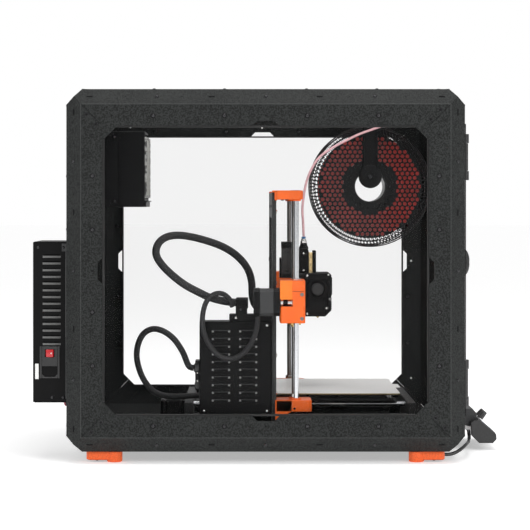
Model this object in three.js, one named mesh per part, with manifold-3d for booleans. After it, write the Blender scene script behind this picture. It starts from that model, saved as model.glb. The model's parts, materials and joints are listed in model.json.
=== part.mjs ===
// Filament printer standing inside a framed enclosure with clear windows.
// Frame: millimetres, +Z up, the door faces -Y, +X is to the right of someone facing the door.
// The origin is under the middle of the whole object, on the surface that its feet stand on.

import * as THREE from 'three';
import { mergeVertices } from 'three/addons/utils/BufferGeometryUtils.js';
import Module from 'manifold-3d';

const wasm = await Module();
wasm.setup();

// ---------------------------------------------------------------- driving dimensions

const GAP = 0.3; // left between pieces that touch
const RUNNING = 0.35; // radial clearance of a shaft or rod in its hole

const ENCLOSURE = { sideRoom: 15.55, depth: 609, height: 554, chamfer: 24, flange: 33, sheet: 2 };
const NOTCH = { outer: 41, inner: 26, depth: 7.6 };
const EAR = 22; // leg of the triangle that stiffens each corner of an opening
const PANEL = { thickness: 3, overlap: 14 };
const FOOT = { radius: 12, height: 16.6, armLift: 3.6, armWidth: 17, inset: 38, armLength: 43, fromEnd: 73 };

const DOOR = { thickness: 4, overlap: 6 };
const HINGE = {
  knuckleRadius: 3.6, pinRadius: 1.6, height: 71, inset: 17, leafWidth: 17, leafThickness: 3, doorReach: 24,
};
const HANDLE = { height: 56, reach: 49, bar: 10, width: 14, fromEdge: 14, bend: 12 };

const PSU = { width: 110, depth: 53.5, height: 248, bottom: 89, left: 50, corner: 3 };
const LEADS = { from: 20, to: 60, depth: 12, drop: 9 }; // the bundle under the power supply
const INLET = { width: 31, height: 49, proud: 1.6, bottom: 126.5, fromRear: 10.5 };
const SOCKET = { halfWidth: 12, height: 16.5, depth: 14, rise: 2 };
const ROCKER = { radius: 7, length: 11.6, proud: 2.4, fromTop: 10.5, dip: 2.2 };

const FILTER = { width: 130, depth: 106, height: 122.3, top: 53, wall: 3, lip: 14.2, fanRoom: 58, duct: 38 };
const CARTRIDGE = { proud: 6, headroom: 6 };
const SPOOL = { radius: 104.4, width: 66, bore: 26, flange: 2.4, drop: 140.5, fromSide: 22, front: 120 };
const FILAMENT = { radius: 88 };
const HOLDER = {
  plate: 5, arm: 23, disc: 20, axle: 8.6, clearance: 4, foot: 4, footReach: 30, footEdge: 6, tip: 4,
};

const PRINTER = { fromFront: 304.5 }; // from the enclosure's front face to the printer's own zero
const GATE = { halfWidth: 186, leg: 36, thickness: 6.35, top: 413, bar: 40, rear: -10.6, foot: 42 };
const BASE = { front: -238, rear: 127, plate: 13, halfWidth: 134, top: 82, beam: 30, beamX: 113, bottom: 32 };
const PAD = { radius: 13, fromEnd: 22 };
const ROD = { radius: 4 };
const Y_RODS = { x: 70, z: 74 };
const BED = { width: 254, depth: 241, centre: -93, top: 96.6, plate: 3.4, tab: 30, tabReach: 8 };
const CARRIAGE = {
  halfWidth: 110, halfDepth: 112, top: 87, thickness: 4, window: 32, windowHalf: 28, windowFrom: 66,
};
const POST = { radius: 4, x: 102, y: 104 };
const BEARING = { width: 24, length: 24, height: 16, offset: 24 };

const Z_AXIS = { rodX: 180, screwX: 163, motorGap: 7, rodForward: 2.9 };
const Z_TOP = { inner: 150, outer: 194, front: -58, height: 14, top: 416 };
const Z_BOTTOM = {
  inner: 142, outer: 194, front: -71.5, top: 94, height: 20, floor: 4, leg: 15, legDrop: 14, legWidth: 8,
};
const MOTOR = { side: 42.3, length: 40 };

const GANTRY = { bottom: 212.8, top: 278, rear: -22, front: -60.5, inner: 154, outer: 204, clamp: 14 };
const X_RODS = { screwGap: 0.4, low: 223, high: 268, end: 172 };
const X_MOTOR = { gateGap: 0.85, centreZ: 244.6 };
const BELT_BAY = { front: 19, rear: 3, height: 9, sight: 4.5, wall: 3, pulley: 6, idler: 8 };
const EXTRUDER = { left: -40, right: 36, front: -109, rear: -66, bottom: 212, top: 282.5, slope: 10 };
const SENSOR_BOX = { left: -32, right: 14, front: -46, rear: -28, top: 333 };
const NOZZLE = { y: -88, top: 3, tip: 0.6, height: 6, drop: 4.5 };
const TOWER = {
  halfWidth: 14, front: -73, rear: -56, top: 322, neck: 5.5, neckTop: 331, collar: 3.6, collarTop: 341,
  tube: -65,
};
const KNOB = { radius: 10, y: -86, z: 256.5, ring: 16, rim: 2.5, well: 4, shaft: 2.5 };

const BOX = { near: -184, far: -141, rear: 102, bottom: 68, top: 213, bracketTop: 227, holderTop: 236 };
const SADDLE = { length: 28, front: 12, rear: 56 }; // carries the thick cable over the box
const PLUGS = { low: 38, high: 84, proud: 8 };

const DISPLAY = { halfWidth: 75, bracket: 60, knobX: 50, knobRadius: 7.5, knobHeight: 15, shaft: 3, well: 9 };

const CABLE = { thick: 6, motor: 4, bed: 4.75, tube: 2, display: 2.75 };

// ---------------------------------------------------------------- derived places

const gateFront = GATE.rear - GATE.thickness;
const motorHalf = MOTOR.side / 2;
const screwY = gateFront - Z_AXIS.motorGap - motorHalf;
const rodY = screwY - Z_AXIS.rodForward;
const xRodY = screwY - 2 * ROD.radius - X_RODS.screwGap; // the X rods pass just in front of the lead screws
const carriageRear = Math.max(xRodY + 2 * ROD.radius, SENSOR_BOX.front + 0.5); // bites into the sensor box
const motorX = -(GATE.halfWidth + X_MOTOR.gateGap + motorHalf); // the side motor hangs outside the gate
const panelInset = ENCLOSURE.sheet + GAP;
const widest = motorHalf - motorX + ENCLOSURE.sideRoom + PANEL.thickness + panelInset;
const half = { x: widest, y: ENCLOSURE.depth / 2, z: ENCLOSURE.height / 2 };
const middle = { x: 0, y: 0, z: FOOT.height + half.z };
const rim = ENCLOSURE.chamfer + ENCLOSURE.flange; // from an outer face to the edge of an opening
const frontFace = -half.y;
const rearFace = half.y;
const floorTop = FOOT.height + panelInset + PANEL.thickness;
const ceiling = FOOT.height + ENCLOSURE.height - panelInset - PANEL.thickness;

// ---------------------------------------------------------------- solids

// Six times the volume inside a closed triangle mesh, negative when its faces point inwards.
function signedVolume(place, triangles) {
  let sum = 0;
  const corners = [new THREE.Vector3(), new THREE.Vector3(), new THREE.Vector3()];
  for (let i = 0; i < triangles.length; i += 3) {
    corners.forEach((corner, k) => corner.fromArray(place, 3 * triangles[i + k]));
    sum += corners[0].dot(corners[1].clone().cross(corners[2]));
  }
  return sum;
}

// Joins the shared corners of a closed geometry, turns its faces outwards where a transform
// mirrored it, and gives it to the boolean library.
function solid(geometry) {
  const bare = new THREE.BufferGeometry();
  bare.setAttribute('position', geometry.getAttribute('position'));
  bare.setIndex(geometry.getIndex());
  const merged = mergeVertices(bare, 1e-4);
  const vertProperties = new Float32Array(merged.attributes.position.array);
  const triVerts = new Uint32Array(merged.index.array);
  if (signedVolume(vertProperties, triVerts) < 0) triVerts.reverse();
  return new wasm.Manifold(new wasm.Mesh({ numProp: 3, vertProperties, triVerts }));
}

function toGeometry(manifold) {
  const mesh = manifold.getMesh();
  const geometry = new THREE.BufferGeometry();
  geometry.setAttribute('position', new THREE.BufferAttribute(new Float32Array(mesh.vertProperties), 3));
  geometry.setIndex(new THREE.BufferAttribute(new Uint32Array(mesh.triVerts), 1));
  geometry.computeVertexNormals();
  return geometry;
}

const add = (first, ...others) => others.reduce((sum, piece) => sum.add(piece), first);
const cut = (first, ...others) => others.reduce((sum, piece) => sum.subtract(piece), first);

// A box between two corners.
function block(x0, x1, y0, y1, z0, z1) {
  const geometry = new THREE.BoxGeometry(x1 - x0, y1 - y0, z1 - z0);
  geometry.translate((x0 + x1) / 2, (y0 + y1) / 2, (z0 + z1) / 2);
  return solid(geometry);
}

// A cylinder along one axis from low to high; the centre gives the other two coordinates.
function rod(axis, radius, low, high, centre, sides = 20) {
  const geometry = new THREE.CylinderGeometry(radius, radius, high - low, sides);
  const along = (low + high) / 2;
  if (axis === 'x') geometry.rotateZ(Math.PI / 2).translate(along, centre[0], centre[1]);
  if (axis === 'y') geometry.translate(centre[0], along, centre[1]);
  if (axis === 'z') geometry.rotateX(Math.PI / 2).translate(centre[0], centre[1], along);
  return solid(geometry);
}

// Extrudes an outline along one axis. Outline points are (y, z) for x, (x, z) for y and (x, y) for z.
function prism(axis, points, low, high) {
  const shape = new THREE.Shape(points.map(([u, v]) => new THREE.Vector2(u, v)));
  const geometry = new THREE.ExtrudeGeometry(shape, { depth: high - low, bevelEnabled: false });
  geometry.translate(0, 0, low);
  const basis = new THREE.Matrix4();
  if (axis === 'x') basis.set(0, 0, 1, 0, 1, 0, 0, 0, 0, 1, 0, 0, 0, 0, 0, 1);
  if (axis === 'y') basis.set(1, 0, 0, 0, 0, 0, 1, 0, 0, 1, 0, 0, 0, 0, 0, 1);
  geometry.applyMatrix4(basis);
  return solid(geometry);
}

// A closed ring or disc turned about the X axis, from (along, radius) profile points.
function turned(points, centre, sides) {
  const profile = points.map(([along, radius]) => new THREE.Vector2(radius, along));
  profile.push(profile[0].clone());
  const geometry = new THREE.LatheGeometry(profile, sides);
  geometry.rotateZ(-Math.PI / 2).translate(0, centre[0], centre[1]);
  return solid(geometry);
}

// A round tube that follows a smooth curve through the points.
function cable(points, radius, steps, sides = 8) {
  const curve = new THREE.CatmullRomCurve3(points.map((p) => new THREE.Vector3(...p)), false, 'centripetal');
  const section = new THREE.Shape();
  for (let i = 0; i < sides; i += 1) {
    const angle = (2 * Math.PI * i) / sides;
    const place = [radius * Math.cos(angle), radius * Math.sin(angle)];
    if (i === 0) section.moveTo(...place);
    else section.lineTo(...place);
  }
  section.closePath();
  return solid(new THREE.ExtrudeGeometry(section, { steps, extrudePath: curve, bevelEnabled: false }));
}

// ---------------------------------------------------------------- materials and nodes

function finish(color, roughness, metalness) {
  return new THREE.MeshStandardMaterial({ color, roughness, metalness });
}

const looks = {
  coatedSteel: () => finish(0x2b2d2c, 0.75, 0.3),
  clear: () => {
    const glass = finish(0xf2f4f4, 0.08, 0);
    glass.transparent = true;
    glass.opacity = 0.15;
    return glass;
  },
  blackPlastic: () => finish(0x151515, 0.6, 0),
  orangePlastic: () => finish(0xff5a1c, 0.5, 0),
  chrome: () => finish(0xd8dadb, 0.15, 1),
  steel: () => finish(0x8c8e90, 0.35, 1),
  red: () => finish(0xa0101c, 0.3, 0),
  white: () => finish(0xf0f0ee, 0.7, 0),
  spoolRed: () => finish(0x7a1e16, 0.45, 0),
  rubber: () => finish(0x101010, 0.8, 0),
  pinkTube: () => finish(0xe7b9bd, 0.4, 0),
};

const group = new THREE.Group();
const printer = new THREE.Group();
printer.position.y = frontFace + PRINTER.fromFront;
group.add(printer);

function node(name, manifold, look, assembly = group) {
  const mesh = new THREE.Mesh(toGeometry(manifold), looks[look]());
  mesh.name = name;
  assembly.add(mesh);
}

// ---------------------------------------------------------------- enclosure frame

// One bent profile along an edge of the enclosure. Its section is two flanges joined by the
// 45 degree face; both ends are mitred on the planes that it shares with its neighbours.
// faceA and faceB are the two outer faces that meet at this edge, as [axis, sign].
const mitreGap = GAP * Math.SQRT1_2;

function railSection() {
  const { chamfer, sheet } = ENCLOSURE;
  const knee = sheet * (Math.SQRT2 - 1);
  const outerMid = chamfer / 2;
  const innerMid = outerMid + sheet * Math.SQRT1_2;
  return {
    outer: [[0, rim], [0, chamfer], [outerMid, outerMid], [chamfer, 0], [rim, 0]],
    inner: [
      [sheet, rim], [sheet, chamfer + knee], [innerMid, innerMid], [chamfer + knee, sheet], [rim, sheet],
    ],
  };
}

function railShell(along, faceA, faceB) {
  const { outer, inner } = railSection();
  const ring = [...outer, ...inner.slice().reverse()];
  const placed = (pair, end) => {
    const point = { x: 0, y: 0, z: 0 };
    point[faceA[0]] = middle[faceA[0]] + faceA[1] * (half[faceA[0]] - pair[0]);
    point[faceB[0]] = middle[faceB[0]] + faceB[1] * (half[faceB[0]] - pair[1]);
    point[along] = middle[along] + end * (half[along] - Math.max(...pair) - mitreGap);
    return [point.x, point.y, point.z];
  };
  const corners = [];
  for (const end of [-1, 1]) for (const pair of ring) corners.push(...placed(pair, end));
  const n = ring.length;
  const faces = [];
  for (let i = 0; i < n; i += 1) {
    const j = (i + 1) % n;
    faces.push(i, j, n + i, j, n + j, n + i);
  }
  for (let i = 0; i < outer.length - 1; i += 1) {
    const a = i;
    const b = i + 1;
    const c = n - 2 - i;
    const d = n - 1 - i;
    faces.push(a, c, b, a, d, c);
    faces.push(n + a, n + b, n + c, n + a, n + c, n + d);
  }
  const geometry = new THREE.BufferGeometry();
  geometry.setAttribute('position', new THREE.BufferAttribute(new Float32Array(corners), 3));
  geometry.setIndex(faces);
  return solid(geometry);
}

// The outline of one flange's extra metal or missing metal, as a thin prism in the flange's plane.
// across is the distance from faceB's edge, run is the place along the rail.
function flangePrism(along, faceA, faceB, outline, extra) {
  const { sheet } = ENCLOSURE;
  const third = faceA[0];
  const outerFace = middle[third] + faceA[1] * half[third];
  const innerFace = outerFace - faceA[1] * sheet;
  const low = Math.min(outerFace, innerFace) - extra;
  const high = Math.max(outerFace, innerFace) + extra;
  const points = outline.map(([run, across]) => {
    const [edge, sign] = faceB;
    const value = { [along]: middle[along] + run, [edge]: middle[edge] + sign * (half[edge] - across) };
    const keys = ['x', 'y', 'z'].filter((key) => key !== third);
    return keys.map((key) => value[key]);
  });
  return prism(third, points, low, high);
}

function rail(along, faceA, faceB) {
  let shell = railShell(along, faceA, faceB);
  const sides = [[faceA, faceB], [faceB, faceA]];
  for (const [own, other] of sides) {
    for (const end of [-1, 1]) {
      const corner = half[along] - mitreGap;
      const ear = [
        [end * (corner - rim - EAR), rim],
        [end * (corner - rim - EAR / 2), rim + EAR / 2],
        [end * (corner - rim), rim],
        [end * (corner - rim + 1), rim - 1],
        [end * (corner - rim - EAR), rim - 1],
      ];
      shell = shell.add(flangePrism(along, own, other, ear, 0));
    }
    const notch = [
      [-NOTCH.outer / 2, rim + 1],
      [-NOTCH.outer / 2, rim],
      [-NOTCH.inner / 2, rim - NOTCH.depth],
      [NOTCH.inner / 2, rim - NOTCH.depth],
      [NOTCH.outer / 2, rim],
      [NOTCH.outer / 2, rim + 1],
    ];
    shell = shell.subtract(flangePrism(along, own, other, notch, 1));
  }
  return shell;
}

const leftFace = ['x', -1];
const rightFace = ['x', 1];
const front = ['y', -1];
const rear = ['y', 1];
const bottom = ['z', -1];
const top = ['z', 1];

for (const [side, face] of [['left', leftFace], ['right', rightFace]]) {
  node(`${side}_top_rail`, rail('y', face, top), 'coatedSteel');
  node(`${side}_bottom_rail`, rail('y', face, bottom), 'coatedSteel');
  node(`${side}_front_post`, rail('z', face, front), 'coatedSteel');
  node(`${side}_rear_post`, rail('z', face, rear), 'coatedSteel');
}
node('front_top_rail', rail('x', front, top), 'coatedSteel');
node('front_bottom_rail', rail('x', front, bottom), 'coatedSteel');
node('rear_top_rail', rail('x', rear, top), 'coatedSteel');
node('rear_bottom_rail', rail('x', rear, bottom), 'coatedSteel');

// ---------------------------------------------------------------- windows, floor and feet

const panelReach = rim - PANEL.overlap;

function sidePanel(sign) {
  const outer = sign * (half.x - panelInset);
  const inner = outer - sign * PANEL.thickness;
  const y = half.y - panelReach;
  const z = half.z - panelReach;
  return block(Math.min(outer, inner), Math.max(outer, inner), -y, y, middle.z - z, middle.z + z);
}

function flatPanel(low) {
  const x = half.x - panelReach;
  const y = half.y - panelReach;
  return block(-x, x, -y, y, low, low + PANEL.thickness);
}

function rearPanel() {
  const x = half.x - panelReach;
  const z = half.z - panelReach;
  const outer = rearFace - panelInset;
  return block(-x, x, outer - PANEL.thickness, outer, middle.z - z, middle.z + z);
}

node('left_window', sidePanel(-1), 'clear');
node('right_window', sidePanel(1), 'clear');
node('top_window', flatPanel(ceiling), 'clear');
node('floor_panel', flatPanel(floorTop - PANEL.thickness), 'coatedSteel');
node('rear_panel', rearPanel(), 'coatedSteel');

function foot(signX, signY) {
  const x = signX * (half.x - FOOT.inset);
  const y = signY * (half.y - FOOT.fromEnd);
  const tip = y + signY * FOOT.armLength;
  const pad = rod('z', FOOT.radius, 0, FOOT.height - GAP, [x, y], 24);
  const w = FOOT.armWidth / 2;
  const nose = w * 0.45;
  const shoulder = tip - signY * nose;
  const outline = [
    [x - w, y], [x - w, shoulder], [x - nose, tip], [x + nose, tip], [x + w, shoulder], [x + w, y],
  ];
  return pad.add(prism('z', outline, FOOT.armLift, FOOT.height - GAP));
}

for (const [sideName, signX] of [['left', -1], ['right', 1]]) {
  for (const [endName, signY] of [['front', -1], ['rear', 1]]) {
    node(`${sideName}_${endName}_foot`, foot(signX, signY), 'orangePlastic');
  }
}

// ---------------------------------------------------------------- door

const openingX = half.x - rim;
const doorLow = middle.z - (half.z - rim) - DOOR.overlap;
const doorHigh = middle.z + (half.z - rim) + DOOR.overlap;
const doorBack = frontFace - GAP;
const doorFront = doorBack - DOOR.thickness;
const pin = {
  x: -(openingX + DOOR.overlap + HINGE.knuckleRadius + 1),
  y: frontFace - HINGE.knuckleRadius - GAP,
};

const doorHalf = openingX + DOOR.overlap;
node('door_panel', block(-doorHalf, doorHalf, doorFront, doorBack, doorLow, doorHigh), 'clear');

function doorHandle() {
  const x1 = openingX + DOOR.overlap - HANDLE.fromEdge;
  const x0 = x1 - HANDLE.width;
  const z0 = middle.z - HANDLE.height / 2;
  const z1 = middle.z + HANDLE.height / 2;
  const back = doorFront - GAP;
  const tip = back - HANDLE.reach;
  const { bar: b, bend } = HANDLE;
  const outer = [
    [back, z0], [tip + bend, z0], [tip, z0 + bend], [tip, z1 - bend], [tip + bend, z1], [back, z1],
  ];
  const hole = [
    [back + 1, z0 + b], [tip + bend, z0 + b], [tip + b, z0 + bend + 2],
    [tip + b, z1 - bend - 2], [tip + bend, z1 - b], [back + 1, z1 - b],
  ];
  return cut(prism('x', outer, x0, x1), prism('x', hole, x0 - 1, x1 + 1));
}
node('door_handle', doorHandle(), 'blackPlastic');

// Knuckles along the pin, from the bottom up: the frame's leaf carries the outer pair and the pin,
// the door's leaf carries the middle one.
function hingeLeaves(low) {
  const high = low + HINGE.height;
  const band = HINGE.height / 5;
  const centre = [pin.x, pin.y];
  const leafLeft = pin.x - HINGE.leafWidth;
  const fixedLeaf = block(leafLeft, pin.x - 1, doorBack - HINGE.leafThickness, doorBack, low, high);
  const frameLeaf = add(fixedLeaf, rod('z', HINGE.knuckleRadius, low, high, centre));
  const slot = rod('z', HINGE.knuckleRadius + RUNNING, low + band, high - band, centre);
  const pinRod = rod('z', HINGE.pinRadius, low + 1, high - 1, centre, 12);
  const reach = pin.x - HINGE.knuckleRadius - RUNNING;
  const relief = block(reach, pin.x + 9, frontFace - 20, frontFace + 1, low + band, high - band);
  const fixed = add(cut(frameLeaf, slot, relief), pinRod);
  const leafBack = doorFront - GAP;
  const span = [low + band + GAP, high - band - GAP];
  const leafFront = leafBack - HINGE.leafThickness;
  const plate = block(pin.x, pin.x + HINGE.doorReach, leafFront, leafBack, ...span);
  const barrel = rod('z', HINGE.knuckleRadius - 0.1, ...span, centre);
  const bore = rod('z', HINGE.pinRadius + RUNNING, low, high, centre, 12);
  return { fixed, moving: cut(add(barrel, plate), bore) };
}

const hinges = [
  ['upper', doorHigh - HINGE.inset - HINGE.height],
  ['lower', doorLow + HINGE.inset],
];
for (const [name, low] of hinges) {
  const { fixed, moving } = hingeLeaves(low);
  node(`${name}_frame_hinge`, fixed, 'blackPlastic');
  node(`${name}_door_hinge`, moving, 'blackPlastic');
}

// ---------------------------------------------------------------- power supply

const psuLeft = -half.x + PSU.left;
const psuFront = rearFace + GAP;
const psuRear = psuFront + PSU.depth;
const inletRear = psuRear - INLET.fromRear;
const inletFace = psuLeft - INLET.proud;
const rockerY = inletRear - INLET.width / 2;
const rockerZ = INLET.bottom + INLET.height - ROCKER.fromTop;
const rockerX = inletFace - ROCKER.proud + ROCKER.radius;

function powerSupply() {
  const { corner } = PSU;
  const z0 = PSU.bottom;
  const z1 = PSU.bottom + PSU.height;
  const shell = prism('x', [
    [psuFront, z0], [psuRear - corner, z0], [psuRear, z0 + corner], [psuRear, z1 - corner],
    [psuRear - corner, z1], [psuFront, z1],
  ], psuLeft, psuLeft + PSU.width);
  const inletTop = INLET.bottom + INLET.height;
  const bezel = block(inletFace, psuLeft + 1, inletRear - INLET.width, inletRear, INLET.bottom, inletTop);
  const reach = ROCKER.length / 2 + GAP;
  const pocket = rod('z', ROCKER.radius + RUNNING, rockerZ - reach, rockerZ + reach, [rockerX, rockerY], 32);
  const socketLow = INLET.bottom + SOCKET.rise;
  const socket = block(
    inletFace - 1, psuLeft + SOCKET.depth,
    rockerY - SOCKET.halfWidth, rockerY + SOCKET.halfWidth,
    socketLow, socketLow + SOCKET.height,
  );
  const { from, to, depth, drop } = LEADS;
  const leads = block(psuLeft + from, psuLeft + to, psuFront, psuFront + depth, z0 - drop, z0 + 1);
  return add(cut(add(shell, bezel), pocket, socket), leads);
}
node('power_supply', powerSupply(), 'blackPlastic');

function powerRocker() {
  const z0 = rockerZ - ROCKER.length / 2;
  const z1 = rockerZ + ROCKER.length / 2;
  const barrel = rod('z', ROCKER.radius, z0, z1, [rockerX, rockerY], 32);
  const r = ROCKER.radius + 1;
  const valley = rockerX - ROCKER.radius + ROCKER.dip;
  const dip = prism('z', [
    [rockerX - r - 2, rockerY - r], [valley - 1.6, rockerY - r], [valley, rockerY],
    [valley + 0.8, rockerY + r], [rockerX - r - 2, rockerY + r],
  ], z0 - 1, z1 + 1);
  return barrel.subtract(dip);
}
node('power_rocker', powerRocker(), 'red');

// ---------------------------------------------------------------- air filter

const filterTop = ceiling - FILTER.top;
const filterBottom = filterTop - FILTER.height;
const filterRear = rearFace - panelInset - PANEL.thickness - GAP;
const filterFront = filterRear - FILTER.depth;
const filterX = FILTER.width / 2;

const filterSplit = filterRear - FILTER.fanRoom;

function filterHousing() {
  const { wall, lip, duct } = FILTER;
  const body = block(-filterX, filterX, filterFront, filterRear, filterBottom, filterTop);
  const bay = block(
    -filterX + wall, filterX - wall, filterFront - 1, filterSplit,
    filterBottom + lip, filterTop - wall,
  );
  const passage = rod('y', duct, filterSplit - 1, filterRear + 1, [0, (filterBottom + filterTop) / 2], 28);
  return cut(body, bay, passage);
}
node('filter_housing', filterHousing(), 'blackPlastic');

function filterCartridge() {
  const side = filterX - FILTER.wall - GAP;
  const z0 = filterBottom + FILTER.lip + GAP;
  const z1 = filterTop - FILTER.wall - GAP - CARTRIDGE.headroom;
  return block(-side, side, filterFront - CARTRIDGE.proud, filterSplit - GAP, z0, z1);
}
node('filter_cartridge', filterCartridge(), 'white');

// ---------------------------------------------------------------- spool and its holder

const spoolFar = half.x - SPOOL.fromSide;
const spoolNear = spoolFar - SPOOL.width;
const spoolY = frontFace + SPOOL.front;
const spoolZ = ceiling - SPOOL.drop;

// The spool with the filament wound on it, which turns as one.
function spoolBody() {
  const f = SPOOL.flange;
  const profile = [
    [spoolNear, SPOOL.bore], [spoolNear, SPOOL.radius], [spoolNear + f, SPOOL.radius],
    [spoolNear + f, FILAMENT.radius], [spoolFar - f, FILAMENT.radius], [spoolFar - f, SPOOL.radius],
    [spoolFar, SPOOL.radius], [spoolFar, SPOOL.bore],
  ];
  return turned(profile, [spoolY, spoolZ], 60);
}
node('filament_spool', spoolBody(), 'spoolRed');

function spoolHolder() {
  const x0 = spoolNear - HOLDER.clearance - HOLDER.plate;
  const x1 = x0 + HOLDER.plate;
  const hub = [spoolY, spoolZ + SPOOL.bore - HOLDER.axle - RUNNING];
  const a = HOLDER.arm / 2;
  const high = ceiling - GAP;
  const arm = block(x0, x1, spoolY - a, spoolY + a, hub[1], high);
  const b = a + HOLDER.footEdge;
  const reach = HOLDER.footReach;
  const base = block(x0 - reach, x1 + reach, spoolY - b, spoolY + b, high - HOLDER.foot, high);
  const disc = rod('x', HOLDER.disc, x0, x1, hub, 32);
  const axle = rod('x', HOLDER.axle, x0, spoolFar + HOLDER.tip, hub, 24);
  return add(arm, base, disc, axle);
}
node('spool_holder', spoolHolder(), 'blackPlastic');

// ---------------------------------------------------------------- display unit on the front

const dock = frontFace - GAP;
const face = {
  top: { y: frontFace - 38, z: 50.5 },
  front: { y: frontFace - 67.4, z: 25.3 },
};
const faceAngle = Math.atan2(face.top.z - face.front.z, face.top.y - face.front.y);
const faceNormal = { y: -Math.sin(faceAngle), z: Math.cos(faceAngle) };
const knobBase = { y: (face.top.y + face.front.y) / 2, z: (face.top.z + face.front.z) / 2 };

// A cylinder that leaves the display's face at right angles, from one height above it to another.
function facePeg(radius, low, high, sides) {
  const geometry = new THREE.CylinderGeometry(radius, radius, high - low, sides);
  geometry.rotateX(Math.PI / 2);
  geometry.translate(0, 0, (low + high) / 2);
  geometry.rotateX(Math.PI / 2 - Math.atan2(faceNormal.z, -faceNormal.y));
  geometry.translate(DISPLAY.knobX, knobBase.y, knobBase.z);
  return solid(geometry);
}

function displayHousing() {
  const { halfWidth, bracket } = DISPLAY;
  const housing = prism('x', [
    [face.top.y, face.top.z], [face.top.y + 12, face.top.z - 6], [frontFace - 27.4, 23.5],
    [frontFace - 40, 11], [frontFace - 62, 11], [frontFace - 68, 17.3], [face.front.y, face.front.z],
  ], -halfWidth, halfWidth);
  const arm = prism('x', [
    [dock, 65], [frontFace - 31, 65], [frontFace - 38, 57], [frontFace - 38, 34], [dock, 44],
  ], -bracket, bracket);
  const well = facePeg(DISPLAY.shaft + RUNNING, -DISPLAY.well, 4, 16);
  return cut(add(housing, arm), well);
}
node('display_housing', displayHousing(), 'blackPlastic');

const ENCODER = { depth: 7.2, shoulder: 5, tip: 10 }; // along the shaft, from the face
const knobFloor = 1.2; // the knob's rise over the face, which is also what it travels when pushed
const shaft = facePeg(DISPLAY.shaft, -ENCODER.depth, ENCODER.shoulder, 16);
const shaftTip = facePeg(DISPLAY.shaft - 1, ENCODER.shoulder - GAP, ENCODER.tip, 16);
node('encoder_shaft', add(shaft, shaftTip), 'steel');
const knobBody = facePeg(DISPLAY.knobRadius, knobFloor, knobFloor + DISPLAY.knobHeight, 24);
const knobBore = facePeg(DISPLAY.shaft + RUNNING, knobFloor - 1, ENCODER.shoulder + GAP, 16);
const knobTipBore = facePeg(DISPLAY.shaft - 1 + RUNNING, ENCODER.shoulder, ENCODER.tip + GAP, 16);
node('display_knob', cut(knobBody, knobBore, knobTipBore), 'blackPlastic');

// ---------------------------------------------------------------- printer frame

function gateFrame() {
  const { halfWidth, leg, top: gateTop, bar, rear: gateRear, foot: lift } = GATE;
  const plate = block(-halfWidth, halfWidth, gateFront, gateRear, lift, gateTop);
  const sill = BASE.bottom + BASE.beam;
  const opening = block(-halfWidth + leg, halfWidth - leg, gateFront - 1, gateRear + 1, sill, gateTop - bar);
  return plate.subtract(opening);
}
node('gate_frame', gateFrame(), 'coatedSteel', printer);

function baseFrame() {
  const { front: y0, rear: y1, plate, halfWidth, top: z1, beam, beamX, bottom: z0 } = BASE;
  const ends = [[y0, y0 + plate], [y1 - plate, y1]].map(
    ([a, b]) => block(-halfWidth, halfWidth, a, b, z0, z1),
  );
  const beams = [-1, 1].map((s) => block(s * beamX - beam / 2, s * beamX + beam / 2, y0, y1, z0, z0 + beam));
  const rods = [-1, 1].map((s) => rod('y', ROD.radius, y0 + 2, y1 - 2, [s * Y_RODS.x, Y_RODS.z], 16));
  const feet = [];
  for (const s of [-1, 1]) {
    for (const y of [y0 + PAD.fromEnd, y1 - PAD.fromEnd]) {
      feet.push(rod('z', PAD.radius, floorTop + GAP, z0 + 1, [s * beamX, y], 16));
    }
  }
  const motor = block(-motorHalf, motorHalf, y1 - 1, y1 + MOTOR.side, z0 + 4, z0 + 4 + MOTOR.length);
  const slot = block(-halfWidth, halfWidth, gateFront - GAP, GATE.rear + GAP, GATE.foot - GAP, z0 + beam + 1);
  return add(cut(add(ends[0], ends[1], ...beams), slot), ...rods, ...feet, motor);
}
node('base_frame', baseFrame(), 'blackPlastic', printer);

// ---------------------------------------------------------------- bed

const carriageBottom = CARRIAGE.top - CARRIAGE.thickness;

function bedCarriage() {
  const { halfWidth: w, halfDepth: d, top: high, window: wide, windowHalf, windowFrom } = CARRIAGE;
  const c = BED.centre;
  const plate = block(-w, w, c - d, c + d, carriageBottom, high);
  const windows = [-1, 1].map((s) => c + s * windowFrom).map(
    (y) => block(-wide, wide, y - windowHalf, y + windowHalf, carriageBottom - 1, high + 1),
  );
  const bores = [-1, 1].map(
    (s) => rod('y', ROD.radius + RUNNING, c - d, c + d, [s * Y_RODS.x, Y_RODS.z], 16),
  );
  const extras = [];
  for (const s of [-1, 1]) {
    for (const t of [-1, 1]) {
      const x = s * Y_RODS.x;
      const y = c + t * BEARING.offset;
      extras.push(block(
        x - BEARING.width / 2, x + BEARING.width / 2, y - BEARING.length / 2, y + BEARING.length / 2,
        Y_RODS.z - BEARING.height / 2, carriageBottom + 1,
      ));
      const post = [s * POST.x, c + t * POST.y];
      extras.push(rod('z', POST.radius, high - 1, BED.top - BED.plate - GAP, post, 12));
    }
  }
  return cut(add(cut(plate, ...windows), ...extras), ...bores);
}
node('bed_carriage', bedCarriage(), 'blackPlastic', printer);

const sheetThickness = 0.8; // the flexible sheet on top of the heated plate

function heatbed() {
  const c = BED.centre;
  const x = BED.width / 2;
  const y = BED.depth / 2;
  const plate = block(-x, x, c - y, c + y, BED.top - BED.plate, BED.top);
  const grip = block(-BED.tab, BED.tab, c - y - BED.tabReach, c - y + 1, BED.top - sheetThickness, BED.top);
  return add(plate, grip);
}
node('heatbed', heatbed(), 'steel', printer);

// ---------------------------------------------------------------- lifting axis

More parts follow.
